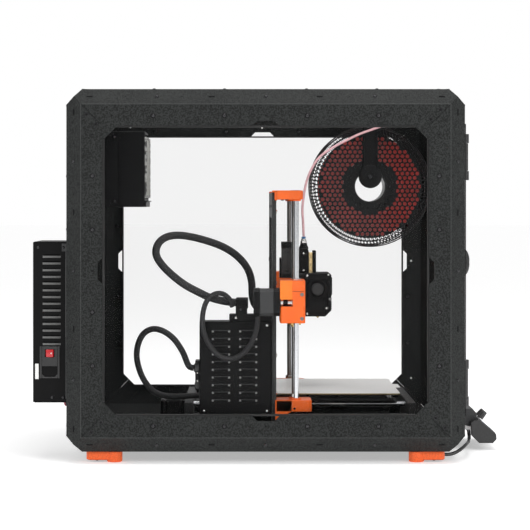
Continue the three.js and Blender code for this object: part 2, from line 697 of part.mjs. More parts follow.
const holeSpan = [0, GATE.top + GATE.bar];
const rodHole = (s) => rod('z', ROD.radius + RUNNING, ...holeSpan, [s * Z_AXIS.rodX, rodY], 20);
const screwHole = (s) => rod('z', ROD.radius + RUNNING, ...holeSpan, [s * Z_AXIS.screwX, screwY], 20);
const between = (s, a, b) => (s < 0 ? [-b, -a] : [a, b]);

for (const [side, s] of [['left', -1], ['right', 1]]) {
  const [tx0, tx1] = between(s, Z_TOP.inner, Z_TOP.outer);
  const zTop = add(
    block(tx0, tx1, Z_TOP.front, gateFront - GAP, Z_TOP.top - Z_TOP.height, Z_TOP.top),
    block(tx0, tx1, gateFront - 1, GATE.rear, GATE.top + GAP, Z_TOP.top),
  );
  node(`${side}_z_top`, cut(zTop, rodHole(s), screwHole(s)), 'orangePlastic', printer);

  const [bx0, bx1] = between(s, Z_BOTTOM.inner, Z_BOTTOM.outer);
  const b0 = Z_BOTTOM.top - Z_BOTTOM.height;
  const leg = prism('x', [
    [gateFront - GAP, b0 + 1], [gateFront - GAP, b0 - Z_BOTTOM.legDrop],
    [gateFront - GAP - 4, b0 - Z_BOTTOM.legDrop], [gateFront - GAP - Z_BOTTOM.leg, b0 + 1],
  ], ...between(s, Z_BOTTOM.outer - Z_BOTTOM.legWidth, Z_BOTTOM.outer));
  const turnX = s * Z_AXIS.screwX;
  const motor = block(
    turnX - motorHalf, turnX + motorHalf, screwY - motorHalf, screwY + motorHalf,
    b0 - MOTOR.length, b0 + 1,
  );
  const seat = block(bx0, bx1, Z_BOTTOM.front, gateFront - GAP, b0, Z_BOTTOM.top);
  const seats = [[s * Z_AXIS.screwX, screwY], [s * Z_AXIS.rodX, rodY]].map(
    (place) => rod('z', ROD.radius + RUNNING, b0 + Z_BOTTOM.floor, Z_BOTTOM.top + 1, place, 20),
  );
  node(`${side}_z_bottom`, cut(add(seat, leg, motor), ...seats), 'orangePlastic', printer);

  const low = b0 + Z_BOTTOM.floor + GAP;
  const rodTop = Z_TOP.top - 1.5;
  const post = rod('z', ROD.radius, low, rodTop, [s * Z_AXIS.rodX, rodY]);
  node(`${side}_z_rod`, post, 'chrome', printer);
  const screw = rod('z', ROD.radius, low, rodTop, [turnX, screwY]);
  node(`${side}_lead_screw`, screw, 'steel', printer);
}

// ---------------------------------------------------------------- gantry

const rodBlind = (low, high) => [X_RODS.low, X_RODS.high].map(
  (z) => rod('x', ROD.radius + GAP / 2, low, high, [xRodY, z], 16),
);

function xEndMotor() {
  const outer = motorX - motorHalf;
  const clampX = -(Z_AXIS.rodX + GANTRY.clamp);
  const body = block(clampX, -GANTRY.inner, GANTRY.front, GANTRY.rear, GANTRY.bottom, GANTRY.top);
  const motorPlate = block(outer, clampX + 1, GANTRY.front, GANTRY.rear, GANTRY.bottom, GANTRY.top);
  const motorSide = motorX + motorHalf;
  const motor = block(
    outer, motorSide, GANTRY.rear - 1, GANTRY.rear + MOTOR.length,
    X_MOTOR.centreZ - motorHalf, X_MOTOR.centreZ + motorHalf,
  );
  const { front: y0, rear: y1, height: h, sight: w } = BELT_BAY;
  const z = X_MOTOR.centreZ;
  const pocket = block(outer + BELT_BAY.wall, clampX - 2, GANTRY.rear - y0, GANTRY.rear - y1, z - h, z + h);
  const inside = outer + BELT_BAY.wall + 1;
  const sight = block(outer - 1, inside, GANTRY.rear - y0, GANTRY.rear - 0.5, z - w, z + w);
  const pulley = rod('y', BELT_BAY.pulley, GANTRY.rear - y0 + 2, GANTRY.rear - 1, [motorX, z], 16);
  const holes = [rodHole(-1), screwHole(-1), ...rodBlind(-X_RODS.end - GAP, -GANTRY.inner + 1)];
  return add(cut(add(body, motorPlate, motor), pocket, sight, ...holes), pulley);
}
node('x_end_motor', xEndMotor(), 'orangePlastic', printer);

function xEndIdler() {
  const body = block(GANTRY.inner, GANTRY.outer, GANTRY.front, GANTRY.rear, GANTRY.bottom, GANTRY.top);
  const { front: y0, height: h, idler } = BELT_BAY;
  const z = X_MOTOR.centreZ;
  const inner = GANTRY.outer - 2 * idler;
  const slot = block(inner, GANTRY.outer + 1, GANTRY.rear - y0, GANTRY.rear - idler, z - h, z + h);
  const axle = rod('y', 2, GANTRY.rear - y0 - 1, GANTRY.rear - idler + 1, [GANTRY.outer - idler, z], 12);
  const holes = [rodHole(1), screwHole(1), ...rodBlind(GANTRY.inner - 1, X_RODS.end + GAP)];
  return add(cut(body, slot, ...holes), axle);
}
node('x_end_idler', xEndIdler(), 'orangePlastic', printer);

for (const [name, z] of [['upper_x_rod', X_RODS.high], ['lower_x_rod', X_RODS.low]]) {
  node(name, rod('x', ROD.radius, -X_RODS.end, X_RODS.end, [xRodY, z], 20), 'chrome', printer);
}

// ---------------------------------------------------------------- print head

function extruder() {
  const { left, right, front: y0, rear: y1, bottom: z0, top: z1 } = EXTRUDER;
  const body = prism('x', [
    [y1, z0], [y1, z1], [y0, z1], [y0, z0 + EXTRUDER.slope], [y0 + EXTRUDER.slope, z0],
  ], left, right);
  const carriage = block(left + 6, right - 6, y1 - 1, carriageRear, z0 + 1, z1 - 1);
  const { left: rearLeft, right: rearRight, front: rearFront, rear: rearBack, top: rearTop } = SENSOR_BOX;
  const sensor = block(rearLeft, rearRight, rearFront, rearBack, X_RODS.high + 6, rearTop);
  const yoke = block(rearLeft, rearRight, rearFront - 1, y1 + 1, z1 - 8, z1 - 0.5);
  const { halfWidth, front: t0, rear: t1, top: t2, neckTop, collarTop, tube } = TOWER;
  const tower = block(-halfWidth, halfWidth, t0, t1, z1 - 1, t2);
  const neck = rod('z', TOWER.neck, t2 - 1, neckTop, [0, tube], 16);
  const collar = rod('z', TOWER.collar, neckTop - 1, collarTop, [0, tube], 16);
  const strip = block(-halfWidth - 2, halfWidth - 6, t0 - 6, t0 + 1, z1 - 1, t2 - 6);
  const fin = block(-halfWidth - 4, halfWidth - 2, t0 - 12, t0 - 6, z1 - 1, t2 - 3);
  const bores = [X_RODS.low, X_RODS.high].map(
    (z) => rod('x', ROD.radius + RUNNING, left - 1, right + 1, [xRodY, z], 20),
  );
  const seat = [KNOB.y, KNOB.z];
  const ring = rod('x', KNOB.ring, left - 1.5, left + 1, seat, 32);
  const well = rod('x', KNOB.ring - KNOB.rim, left - 2, left + KNOB.well, seat, 32);
  const shell = cut(add(body, carriage, sensor, yoke, tower, neck, collar, strip, fin, ring), ...bores, well);
  const spindle = rod('x', KNOB.shaft, left - 1, left + KNOB.well + 1, seat, 12);
  const nozzle = new THREE.CylinderGeometry(NOZZLE.top, NOZZLE.tip, NOZZLE.height, 12);
  nozzle.rotateX(Math.PI / 2).translate(0, NOZZLE.y, z0 - NOZZLE.drop + NOZZLE.height / 2);
  return add(shell, spindle, solid(nozzle));
}
node('extruder', extruder(), 'blackPlastic', printer);

function extruderKnob() {
  const outer = EXTRUDER.left - KNOB.well;
  const centre = [KNOB.y, KNOB.z];
  const cap = rod('x', KNOB.radius, outer, EXTRUDER.left + KNOB.well - 1, centre, 12);
  const bore = rod('x', KNOB.shaft + RUNNING, EXTRUDER.left - 1 - GAP, EXTRUDER.left + KNOB.well, centre, 12);
  return cut(cap, bore);
}
node('extruder_knob', extruderKnob(), 'blackPlastic', printer);

// ---------------------------------------------------------------- electronics box

const boxFront = GATE.rear + GAP;

function electronicsBox() {
  const { near, far, rear: y1, bottom: z0, top: z1, bracketTop, holderTop } = BOX;
  const body = block(near, far, boxFront, y1, z0, z1);
  const { length, front: s0, rear: s1 } = SADDLE;
  const bracket = block(near + 2, near + 2 + length, s0, s1, z1 - 1, bracketTop - 3);
  const holder = block(near + 4, near + length - 4, s0 + 16, s1 - 10, bracketTop - 4, holderTop);
  const plugs = block(near + 6, far - 8, y1 - 1, y1 + PLUGS.proud, z0 + PLUGS.low, z0 + PLUGS.high);
  const groove = rod('y', CABLE.thick + GAP, s0 + 15, s1 - 9, [near + length / 2 + 1, holderTop], 16);
  return cut(add(body, bracket, holder, plugs), groove);
}
node('electronics_box', electronicsBox(), 'blackPlastic', printer);

// ---------------------------------------------------------------- cables

const extruderRoute = [
  [-169, 36, 241], [-172, 62, 243.5], [-174, 86.8, 250], [-175, 103.7, 258], [-174, 124, 268.8],
  [-170, 144.3, 283.9], [-164, 160.6, 299.7], [-156, 169.8, 313.8], [-148, 170.5, 325.5],
  [-140, 164.9, 336.3], [-131, 154.2, 343.1], [-121, 139.1, 345.5], [-110, 118.9, 343.2],
  [-98, 95.1, 337.1], [-86, 69.3, 327.6], [-75, 48.6, 315.1], [-64, 32.8, 299.1],
  [-54, 24.1, 283.1], [-45, 20.5, 266.9], [-37, 20, 254.2], [-31, 18.8, 241], [-25, 14, 229],
  [-19, 4, 221], [-14, -11, 218], [-10.5, -26, 218.2], [-8.8, -36, 219.6], [-8.6, -44.6, 219.6],
];
const motorRoute = [
  [-209, 12, 222.6], [-209, 12.4, 212], [-208, 17, 192], [-204, 25, 176], [-200, 38, 162],
  [-198, 54, 156], [-197, 70, 160], [-196, 84, 174], [-196, 95, 196], [-196, 97, 222],
  [-195, 90, 246], [-192, 78, 256], [-188, 66, 256], [-184, 56, 248], [-180, 51, 236],
];
const bedRoute = [
  [-158, 111.4, 139], [-158, 118, 140.5], [-157, 129, 164], [-154, 143, 184], [-150, 160, 196],
  [-146, 176, 199], [-142, 190, 192], [-138, 199, 176], [-134, 202, 156], [-130, 198, 134],
  [-126, 189, 114], [-122, 176, 99], [-114, 158, 91], [-102, 138, 88.6], [-88, 118, 88.3],
  [-72, 94, 88.3], [-58, 70, 88.4], [-47, 48, 88.6], [-42, 28.6, 88.6],
];
const tubeRoute = [
  [0, TOWER.tube, TOWER.collarTop + GAP], [-1, -64, 366], [2, -63, 386], [8, -66, 412], [16, -71, 434],
  [26, -80, 455], [38, -92, 472], [52, -112, 487], [68, -138, 501], [84, -163, 513],
  [102, -190, 523], [118, -212, 532], [128, -226, 540],
];
const displayRoute = [
  [-68, -328, 30.5], [-74, -328, 26], [-86, -327, 22], [-104, -324, 20], [-126, -321, 20.5],
  [-150, -318, 22], [-170, -313, 21], [-184, -304, 16], [-191, -294, 11], [-194, -284, 8.5],
  [-196, -274, 9], [-197, -264, 11.5],
];
node('extruder_cable', cable(extruderRoute, CABLE.thick, 44), 'rubber', printer);
node('x_motor_cable', cable(motorRoute, CABLE.motor, 36), 'rubber', printer);
node('bed_cable', cable(bedRoute, CABLE.bed, 36), 'rubber', printer);
node('filament_tube', cable(tubeRoute, CABLE.tube, 40), 'pinkTube', printer);
node('display_cable', cable(displayRoute, CABLE.display, 30), 'rubber');

// ---------------------------------------------------------------- origin

// The overall box is taken without the cables.
const overall = new THREE.Box3();
group.updateMatrixWorld(true);
group.traverse((part) => {
  const isCable = part.name.endsWith('_cable') || part.name.endsWith('_tube');
  if (part.isMesh && !isCable) overall.expandByObject(part);
});
group.position.y = -(overall.min.y + overall.max.y) / 2;

export default group;
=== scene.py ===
"""The look of a moving-bed filament printer that stands inside a framed enclosure.

Sizes are millimetres from the middle of the enclosure, and the Z axis starts on the ground. They turn
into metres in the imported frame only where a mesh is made. The door faces -Y.
"""

import json
import logging
import math
from dataclasses import dataclass, field
from enum import Enum
from typing import Callable, Iterable, Sequence

import bmesh
import bpy
import numpy as np
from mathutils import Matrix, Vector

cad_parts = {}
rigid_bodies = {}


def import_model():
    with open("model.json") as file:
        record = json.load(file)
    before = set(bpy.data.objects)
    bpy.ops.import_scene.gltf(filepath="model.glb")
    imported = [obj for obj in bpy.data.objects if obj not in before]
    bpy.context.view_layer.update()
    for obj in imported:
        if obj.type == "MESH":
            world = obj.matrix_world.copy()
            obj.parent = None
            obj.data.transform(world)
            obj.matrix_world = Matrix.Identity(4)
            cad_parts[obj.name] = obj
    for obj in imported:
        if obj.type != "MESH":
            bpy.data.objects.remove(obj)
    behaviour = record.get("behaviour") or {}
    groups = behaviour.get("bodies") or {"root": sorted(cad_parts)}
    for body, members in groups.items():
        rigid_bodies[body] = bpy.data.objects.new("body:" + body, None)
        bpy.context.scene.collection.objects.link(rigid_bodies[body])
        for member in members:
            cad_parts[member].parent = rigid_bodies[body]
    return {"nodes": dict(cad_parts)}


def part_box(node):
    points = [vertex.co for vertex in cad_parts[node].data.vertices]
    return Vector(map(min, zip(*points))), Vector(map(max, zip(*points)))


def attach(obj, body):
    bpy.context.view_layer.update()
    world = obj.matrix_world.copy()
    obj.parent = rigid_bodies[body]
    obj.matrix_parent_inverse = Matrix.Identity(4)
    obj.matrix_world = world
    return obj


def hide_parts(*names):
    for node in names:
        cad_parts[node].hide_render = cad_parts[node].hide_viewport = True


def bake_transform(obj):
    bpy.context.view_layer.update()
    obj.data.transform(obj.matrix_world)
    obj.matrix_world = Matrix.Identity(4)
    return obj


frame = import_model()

logging.basicConfig(level=logging.INFO, format="%(name)s: %(message)s")
LOG = logging.getLogger("printer")
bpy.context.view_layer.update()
MM = 0.001
Colour = tuple[float, float, float]
Point = tuple[float, float, float]
Points = Sequence[Point]


class Body(str, Enum):
    """The moving bodies that pieces ride on."""

    ENCLOSURE = "enclosure"
    DOOR = "door"
    ROCKER = "rocker"
    BED = "bed"
    LEFT_SCREW = "left_screw"
    RIGHT_SCREW = "right_screw"
    GANTRY = "gantry"
    HEAD = "print_head"
    HEAD_KNOB = "head_knob"
    SPOOL = "spool"
    ENCODER = "encoder"
    MENU_KNOB = "menu_knob"


class Axis(Enum):
    """The three directions of the frame."""

    X = 0
    Y = 1
    Z = 2


def enclosure_middle() -> np.ndarray:
    """The enclosure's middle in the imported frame, in millimetres, on the ground."""
    low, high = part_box("left_window")
    return np.array([0.0, (low.y + high.y) / 2 / MM, 0.0])


MIDDLE = enclosure_middle()


def to_frame(points: Iterable) -> np.ndarray:
    """Turns millimetres from the enclosure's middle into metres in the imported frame.

    Args:
        points: One point or rows of points.

    Returns:
        The same points in metres.
    """
    return (np.asarray(points, float) + MIDDLE) * MM


def span(node: str) -> tuple[np.ndarray, np.ndarray]:
    """The lowest and highest corner of a CAD node.

    Args:
        node: The node's name.

    Returns:
        Two points in millimetres from the enclosure's middle.
    """
    low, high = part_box(node)
    return np.array(low) / MM - MIDDLE, np.array(high) / MM - MIDDLE


# ---------------------------------------------------------------- mesh building


def outward(verts: np.ndarray, faces: list[tuple[int, ...]]) -> list[tuple[int, ...]]:
    """Turns the faces of a convex shape so that they look away from its middle."""
    centre = verts.mean(0)
    turned = []
    for face in faces:
        a, b, c = verts[face[0]], verts[face[1]], verts[face[2]]
        normal = np.cross(b - a, c - a)
        turned.append(face if normal @ (a - centre) > 0 else face[::-1])
    return turned


def chamfered_box_template() -> list[tuple[int, ...]]:
    """Faces of a box whose eight corners have three vertices each, one on each neighbouring side."""
    signs = [(x, y, z) for x in (-1, 1) for y in (-1, 1) for z in (-1, 1)]
    number = {(s, k): 3 * i + k for i, s in enumerate(signs) for k in range(3)}
    faces: list[tuple[int, ...]] = [tuple(3 * i + k for k in range(3)) for i in range(8)]
    order = ((-1, -1), (1, -1), (1, 1), (-1, 1))
    for k in range(3):
        u, v = [i for i in range(3) if i != k]
        for sign in (-1, 1):
            corner = []
            for a, b in order:
                s = [0, 0, 0]
                s[k], s[u], s[v] = sign, a, b
                corner.append(number[(tuple(s), k)])
            faces.append(tuple(corner))
        for a, b in order:
            low, high = [0, 0, 0], [0, 0, 0]
            low[k], high[k] = -1, 1
            low[u] = high[u] = a
            low[v] = high[v] = b
            ends = [tuple(low), tuple(high)]
            faces.append((number[(ends[0], u)], number[(ends[1], u)], number[(ends[1], v)], number[(ends[0], v)]))
    return faces


BOX_FACES = chamfered_box_template()


def catmull(points: Points, count: int) -> np.ndarray:
    """A smooth centripetal curve through points, at even steps of length.

    Args:
        points: The points that the curve passes through.
        count: How many places to return along it.

    Returns:
        An array of count rows.
    """
    p = np.asarray(points, float)
    p = np.vstack([2 * p[0] - p[1], p, 2 * p[-1] - p[-2]])
    gaps = np.sqrt(np.linalg.norm(np.diff(p, axis=0), axis=1))
    rows = []
    for i in range(1, len(p) - 2):
        t0, t1 = 0.0, gaps[i - 1]
        t2 = t1 + gaps[i]
        t3 = t2 + gaps[i + 1]
        t = np.linspace(t1, t2, 24, endpoint=i == len(p) - 3)[:, None]
        a1 = (t1 - t) / (t1 - t0) * p[i - 1] + (t - t0) / (t1 - t0) * p[i]
        a2 = (t2 - t) / (t2 - t1) * p[i] + (t - t1) / (t2 - t1) * p[i + 1]
        a3 = (t3 - t) / (t3 - t2) * p[i + 1] + (t - t2) / (t3 - t2) * p[i + 2]
        b1 = (t2 - t) / (t2 - t0) * a1 + (t - t0) / (t2 - t0) * a2
        b2 = (t3 - t) / (t3 - t1) * a2 + (t - t1) / (t3 - t1) * a3
        rows.append((t2 - t) / (t2 - t1) * b1 + (t - t1) / (t2 - t1) * b2)
    dense = np.vstack(rows)
    run = np.concatenate([[0], np.cumsum(np.linalg.norm(np.diff(dense, axis=0), axis=1))])
    wanted = np.linspace(0, run[-1], count)
    return np.column_stack([np.interp(wanted, run, dense[:, k]) for k in range(3)])


def path_length(points: np.ndarray) -> float:
    """The length along rows of points."""
    return float(np.linalg.norm(np.diff(points, axis=0), axis=1).sum())


def carried_frames(path: np.ndarray) -> tuple[np.ndarray, np.ndarray]:
    """Two directions across a path, carried along it without twist.

    Each next pair is the last one with its part along the new direction taken away.
    """
    ahead = np.gradient(path, axis=0)
    ahead /= np.linalg.norm(ahead, axis=1)[:, None]
    side = np.cross(ahead[0], [0.13, 0.31, 0.94])
    sides = []
    for direction in ahead:
        side = side - direction * (side @ direction)
        side = side / np.linalg.norm(side)
        sides.append(side)
    across = np.array(sides)
    return across, np.cross(ahead, across)


@dataclass
class Shape:
    """Vertices and faces gathered for one piece, in millimetres from the enclosure's middle.

    Each added part names the material slot that it is painted from.
    """

    verts: list[np.ndarray] = field(default_factory=list)
    faces: list[tuple[int, ...]] = field(default_factory=list)
    slots: list[int] = field(default_factory=list)
    total: int = 0

    def add(self, verts: np.ndarray, faces: Iterable[tuple[int, ...]], slot: int = 0) -> "Shape":
        """Adds vertices and the faces between them.

        Args:
            verts: Rows of points.
            faces: Vertex numbers, counted from the first of these vertices.
            slot: The material slot.

        Returns:
            This shape.
        """
        rows = [tuple(int(i) + self.total for i in face) for face in faces]
        self.verts.append(np.asarray(verts, float))
        self.faces.extend(rows)
        self.slots.extend([slot] * len(rows))
        self.total += len(verts)
        return self

    def box(self, low: Sequence[float], high: Sequence[float], chamfer: float = 0.6, slot: int = 0) -> "Shape":
        """Adds a box with chamfered edges, between two corners.

        Each vertex lies on one side of the box and is drawn in by the chamfer along the other two.
        """
        low, high = np.minimum(low, high), np.maximum(low, high)
        half, centre = (high - low) / 2, (high + low) / 2
        chamfer = min(chamfer, 0.45 * float(half.min() * 2))
        signs = np.array([(x, y, z) for x in (-1, 1) for y in (-1, 1) for z in (-1, 1)], float)
        inset = chamfer * (1 - np.eye(3))
        verts = (signs[:, None, :] * (half - inset)[None, :, :]).reshape(-1, 3)
        return self.add(verts + centre, outward(verts, BOX_FACES), slot)

    def prism(
        self, axis: Axis, outline: Sequence[tuple[float, float]], low: float, high: float, slot: int = 0,
        chamfer: float = 0.0,
    ) -> "Shape":
        """Adds an outline drawn out along an axis, with chamfered rims.

        Args:
            axis: The direction of the prism.
            outline: Points as (y, z) for X, (x, z) for Y and (x, y) for Z, in order round a convex outline.
            low: Where it starts.
            high: Where it ends.
            slot: The material slot.
            chamfer: How far the end faces are drawn in.
        """
        flat = np.asarray(outline, float)
        n = len(flat)
        middle = flat.mean(0)
        reach = np.linalg.norm(flat - middle, axis=1)[:, None]
        inner = flat - (flat - middle) / reach * chamfer * 1.2
        levels = [(low, inner), (low + chamfer, flat), (high - chamfer, flat), (high, inner)]
        if chamfer == 0:
            levels = [(low, flat), (high, flat)]
        others = [i for i in range(3) if i != axis.value]
        rings = []
        for place, ring in levels:
            row = np.empty((n, 3))
            row[:, axis.value] = place
            row[:, others[0]] = ring[:, 0]
            row[:, others[1]] = ring[:, 1]
            rings.append(row)
        verts = np.vstack(rings)
        i = np.arange(n)
        j = (i + 1) % n
        faces: list[tuple[int, ...]] = []
        for k in range(len(levels) - 1):
            faces.extend(map(tuple, np.column_stack([i + k * n, j + k * n, j + (k + 1) * n, i + (k + 1) * n])))
        faces.append(tuple(range(n))[::-1])
        faces.append(tuple(range((len(levels) - 1) * n, len(levels) * n)))
        area = np.sum(flat[i, 0] * flat[j, 1] - flat[j, 0] * flat[i, 1])
        if (area < 0) != (axis is Axis.Y):
            faces = [face[::-1] for face in faces]
        return self.add(verts, faces, slot)

    def lathe(
        self, origin: Sequence[float], axis: Sequence[float], profile: Sequence[tuple[float, float]],
        sides: int = 24, slot: int = 0, closed: bool = False,
    ) -> "Shape":
        """Adds a profile turned about an axis.

        The ring at each profile point is origin + axis * along + radius * (u cos a + v sin a).

        Args:
            origin: A point on the axis, which the profile counts from.
            axis: The axis's direction.
            profile: Points as (along, radius), listed along the axis so that faces look outwards.
            sides: Steps round the axis.
            slot: The material slot.
            closed: Whether the last point joins the first, as on a ring.
        """
        along = np.asarray(axis, float)
        along = along / np.linalg.norm(along)
        guide = np.array([0.0, 0.0, 1.0]) if abs(along[2]) < 0.9 else np.array([1.0, 0.0, 0.0])
        u = np.cross(guide, along)
        u /= np.linalg.norm(u)
        v = np.cross(along, u)
        rows = np.asarray(profile, float)
        angle = np.linspace(0, 2 * math.pi, sides, endpoint=False)
        ring = np.cos(angle)[:, None] * u + np.sin(angle)[:, None] * v
        verts = np.asarray(origin, float) + rows[:, None, :1] * along + rows[:, None, 1:] * ring[None]
        verts = verts.reshape(-1, 3)
        count = len(rows) if closed else len(rows) - 1
        k, i = np.meshgrid(np.arange(count), np.arange(sides), indexing="ij")
        k2, j = (k + 1) % len(rows), (i + 1) % sides
        quads = np.stack([k * sides + i, k * sides + j, k2 * sides + j, k2 * sides + i], -1).reshape(-1, 4)
        faces = list(map(tuple, quads))
        if not closed:
            faces.append(tuple(range(sides))[::-1])
            faces.append(tuple(range((len(rows) - 1) * sides, len(rows) * sides)))
        return self.add(verts, faces, slot)

    def rod(self, start: Sequence[float], end: Sequence[float], radius: float, sides: int = 24, chamfer: float = 0.4, slot: int = 0) -> "Shape":
        """Adds a round bar with chamfered ends between two points."""
        a, b = np.asarray(start, float), np.asarray(end, float)
        length = float(np.linalg.norm(b - a))
        c = min(chamfer, radius * 0.8, length * 0.4)
        profile = [(0, radius - c), (c, radius), (length - c, radius), (length, radius - c)]
        return self.lathe(a, b - a, profile, sides, slot)

    def ring(self, centre: Sequence[float], axis: Sequence[float], outer: float, inner: float, height: float, sides: int = 32, slot: int = 0) -> "Shape":
        """Adds a flat ring that rises from its centre along the axis."""
        e = min(0.3, (outer - inner) * 0.3, height * 0.3)
        profile = [(0, inner), (0, outer), (height - e, outer), (height, outer - e), (height, inner + e), (height - e, inner)]
        return self.lathe(centre, axis, profile, sides, slot, closed=True)

    def screw(self, place: Sequence[float], axis: Sequence[float], radius: float = 3.0, height: float = 1.6, slot: int = 0, socket: int | None = None) -> "Shape":
        """Adds a domed screw head with a six-sided socket standing on a surface."""
        r = radius
        profile = [(-0.6, r), (0.15 * height, r), (0.6 * height, 0.9 * r), (0.92 * height, 0.66 * r), (height, 0.5 * r), (height, 0.46 * r)]
        self.lathe(place, axis, profile, 14, slot)
        top = np.asarray(place, float) + np.asarray(axis, float) / np.linalg.norm(axis) * (height - 0.12)
        self.lathe(top, axis, [(0, 0.34 * r), (0.2, 0.4 * r)], 6, slot if socket is None else socket)
        return self

    def dome(self, place: Sequence[float], axis: Sequence[float], radius: float, height: float, slot: int = 0) -> "Shape":
        """Adds a low rivet dome standing on a surface."""
        steps = np.linspace(0, math.pi / 2, 5)
        profile = [(-0.4, radius)] + [(height * math.sin(t), max(radius * math.cos(t), 0.12 * radius)) for t in steps]
        return self.lathe(place, axis, profile, 12, slot)

    def tube(self, path: np.ndarray, radius: float | np.ndarray, sides: int = 14, slot: int = 0) -> "Shape":
        """Adds a round tube swept along rows of points.

        Each ring is its point + radius * (side cos a + across sin a), with the frame carried along.
        """
        side, across = carried_frames(path)
        angle = np.linspace(0, 2 * math.pi, sides, endpoint=False)
        size = np.broadcast_to(np.asarray(radius, float), (len(path),))[:, None, None]
        ring = np.cos(angle)[None, :, None] * side[:, None, :] + np.sin(angle)[None, :, None] * across[:, None, :]
        verts = (path[:, None, :] + size * ring).reshape(-1, 3)
        k, i = np.meshgrid(np.arange(len(path) - 1), np.arange(sides), indexing="ij")
        j = (i + 1) % sides
        quads = np.stack([k * sides + i, k * sides + j, (k + 1) * sides + j, (k + 1) * sides + i], -1)
        faces = list(map(tuple, quads.reshape(-1, 4)))
        faces.append(tuple(range(sides))[::-1])
        faces.append(tuple(range((len(path) - 1) * sides, len(path) * sides)))
        return self.add(verts, faces, slot)

    def pocketed(
        self, axis: Axis, plane: float, facing: int, low: tuple[float, float], high: tuple[float, float],
        pockets: Sequence[tuple[float, float, float, float]], depth: float, draft: float, slot: int = 0,
        floor_slot: int | None = None, lip: float = 0.0,
    ) -> "Shape":
        """Adds one flat face with rectangular pockets pressed into it.

        The face is cut into a grid at every pocket's edges. A pocket's cell becomes four sloping walls and
        a floor that is drawn in by the draft at its ends.

        Args:
            axis: The axis that the face looks along.
            plane: Its place on that axis.
            facing: 1 or -1, the way it looks.
            low: Lowest corner in the other two axes.
            high: Highest corner in the other two axes.
            pockets: Each pocket as (u0, u1, v0, v1); they share rows and columns.
            depth: How deep the floors lie.
            draft: How far the floor's ends are drawn in.
            slot: Material of the face and the walls.
            floor_slot: Material of the floors.
            lip: How far each floor's lower edge is lifted back towards the face.
        """
        u_cuts = sorted({low[0], high[0], *(round(p[0], 4) for p in pockets), *(round(p[1], 4) for p in pockets)})
        v_cuts = sorted({low[1], high[1], *(round(p[2], 4) for p in pockets), *(round(p[3], 4) for p in pockets)})
        others = [i for i in range(3) if i != axis.value]

        def point(u: float, v: float, sink: float) -> np.ndarray:
            place = np.zeros(3)
            place[axis.value] = plane - facing * sink
            place[others[0]], place[others[1]] = u, v
            return place

        flip = (facing > 0) == (axis is Axis.Y)
        taken = {(round(p[0], 4), round(p[2], 4)) for p in pockets}
        for u0, u1 in zip(u_cuts, u_cuts[1:]):
            for v0, v1 in zip(v_cuts, v_cuts[1:]):
                rim = [point(u0, v0, 0), point(u1, v0, 0), point(u1, v1, 0), point(u0, v1, 0)]
                if (u0, v0) not in taken:
                    face = (0, 1, 2, 3)
                    self.add(np.array(rim), [face[::-1] if flip else face], slot)
                    continue
                d, s = draft, 0.12 * (v1 - v0)
                base = [point(u0 + d, v0 + s, depth - lip), point(u1 - d, v0 + s, depth - lip), point(u1 - d, v1 - s, depth), point(u0 + d, v1 - s, depth)]
                walls = [(k, (k + 1) % 4, 4 + (k + 1) % 4, 4 + k) for k in range(4)]
                floor = (4, 5, 6, 7)
                verts = np.array(rim + base)
                self.add(verts, [w[::-1] if flip else w for w in walls], slot)
                self.add(np.array(base), [(3, 2, 1, 0) if flip else (0, 1, 2, 3)], slot if floor_slot is None else floor_slot)
                del floor
        return self

    def shifted(self, offset: Sequence[float]) -> "Shape":
        """Moves everything gathered so far."""
        self.verts = [v + np.asarray(offset, float) for v in self.verts]
        return self

    def build(
        self, name: str, materials: Sequence[bpy.types.Material], body: Body | None, replaces: Sequence[str] = (),
        record_slot: str | None = None, smooth: float = 34.0,
    ) -> bpy.types.Object:
        """Makes the piece and hangs it on its body.

        Args:
            name: The piece's name.
            materials: One material for each slot used.
            body: The body that it rides on, or None to leave it on no body.
            replaces: CAD nodes that it stands for.
            record_slot: The record's material slot; not used.
            smooth: Edges flatter than this many degrees are shaded smooth.

        Returns:
            The new object.
        """
        mesh = bpy.data.meshes.new(name)
        mesh.from_pydata(to_frame(np.vstack(self.verts)).tolist(), [], self.faces)
        for material in materials:
            mesh.materials.append(material)
        mesh.polygons.foreach_set("material_index", np.array(self.slots, dtype=np.int32))
        mesh.polygons.foreach_set("use_smooth", np.ones(len(self.faces), dtype=bool))
        mesh.validate()
        mesh.set_sharp_from_angle(angle=math.radians(smooth))
        mesh.update()
        obj = bpy.data.objects.new(name, mesh)
        bpy.context.scene.collection.objects.link(obj)
        if body is not None:
            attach(obj, body.value)
        if replaces:
            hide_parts(*replaces)
        LOG.info("%s: %d faces", name, len(self.faces))
        return obj


def repaint(node: str, material: bpy.types.Material) -> None:
    """Gives a kept CAD node its detailed material.

    Args:
        node: The node's name.
        material: What it is painted with.
    """
    obj = next(o for o in bpy.data.objects if o.type == "MESH" and o.name == node)
    for place in obj.material_slots:
        place.material = material
    if not obj.material_slots:
        obj.data.materials.append(material)


# ---------------------------------------------------------------- shader building


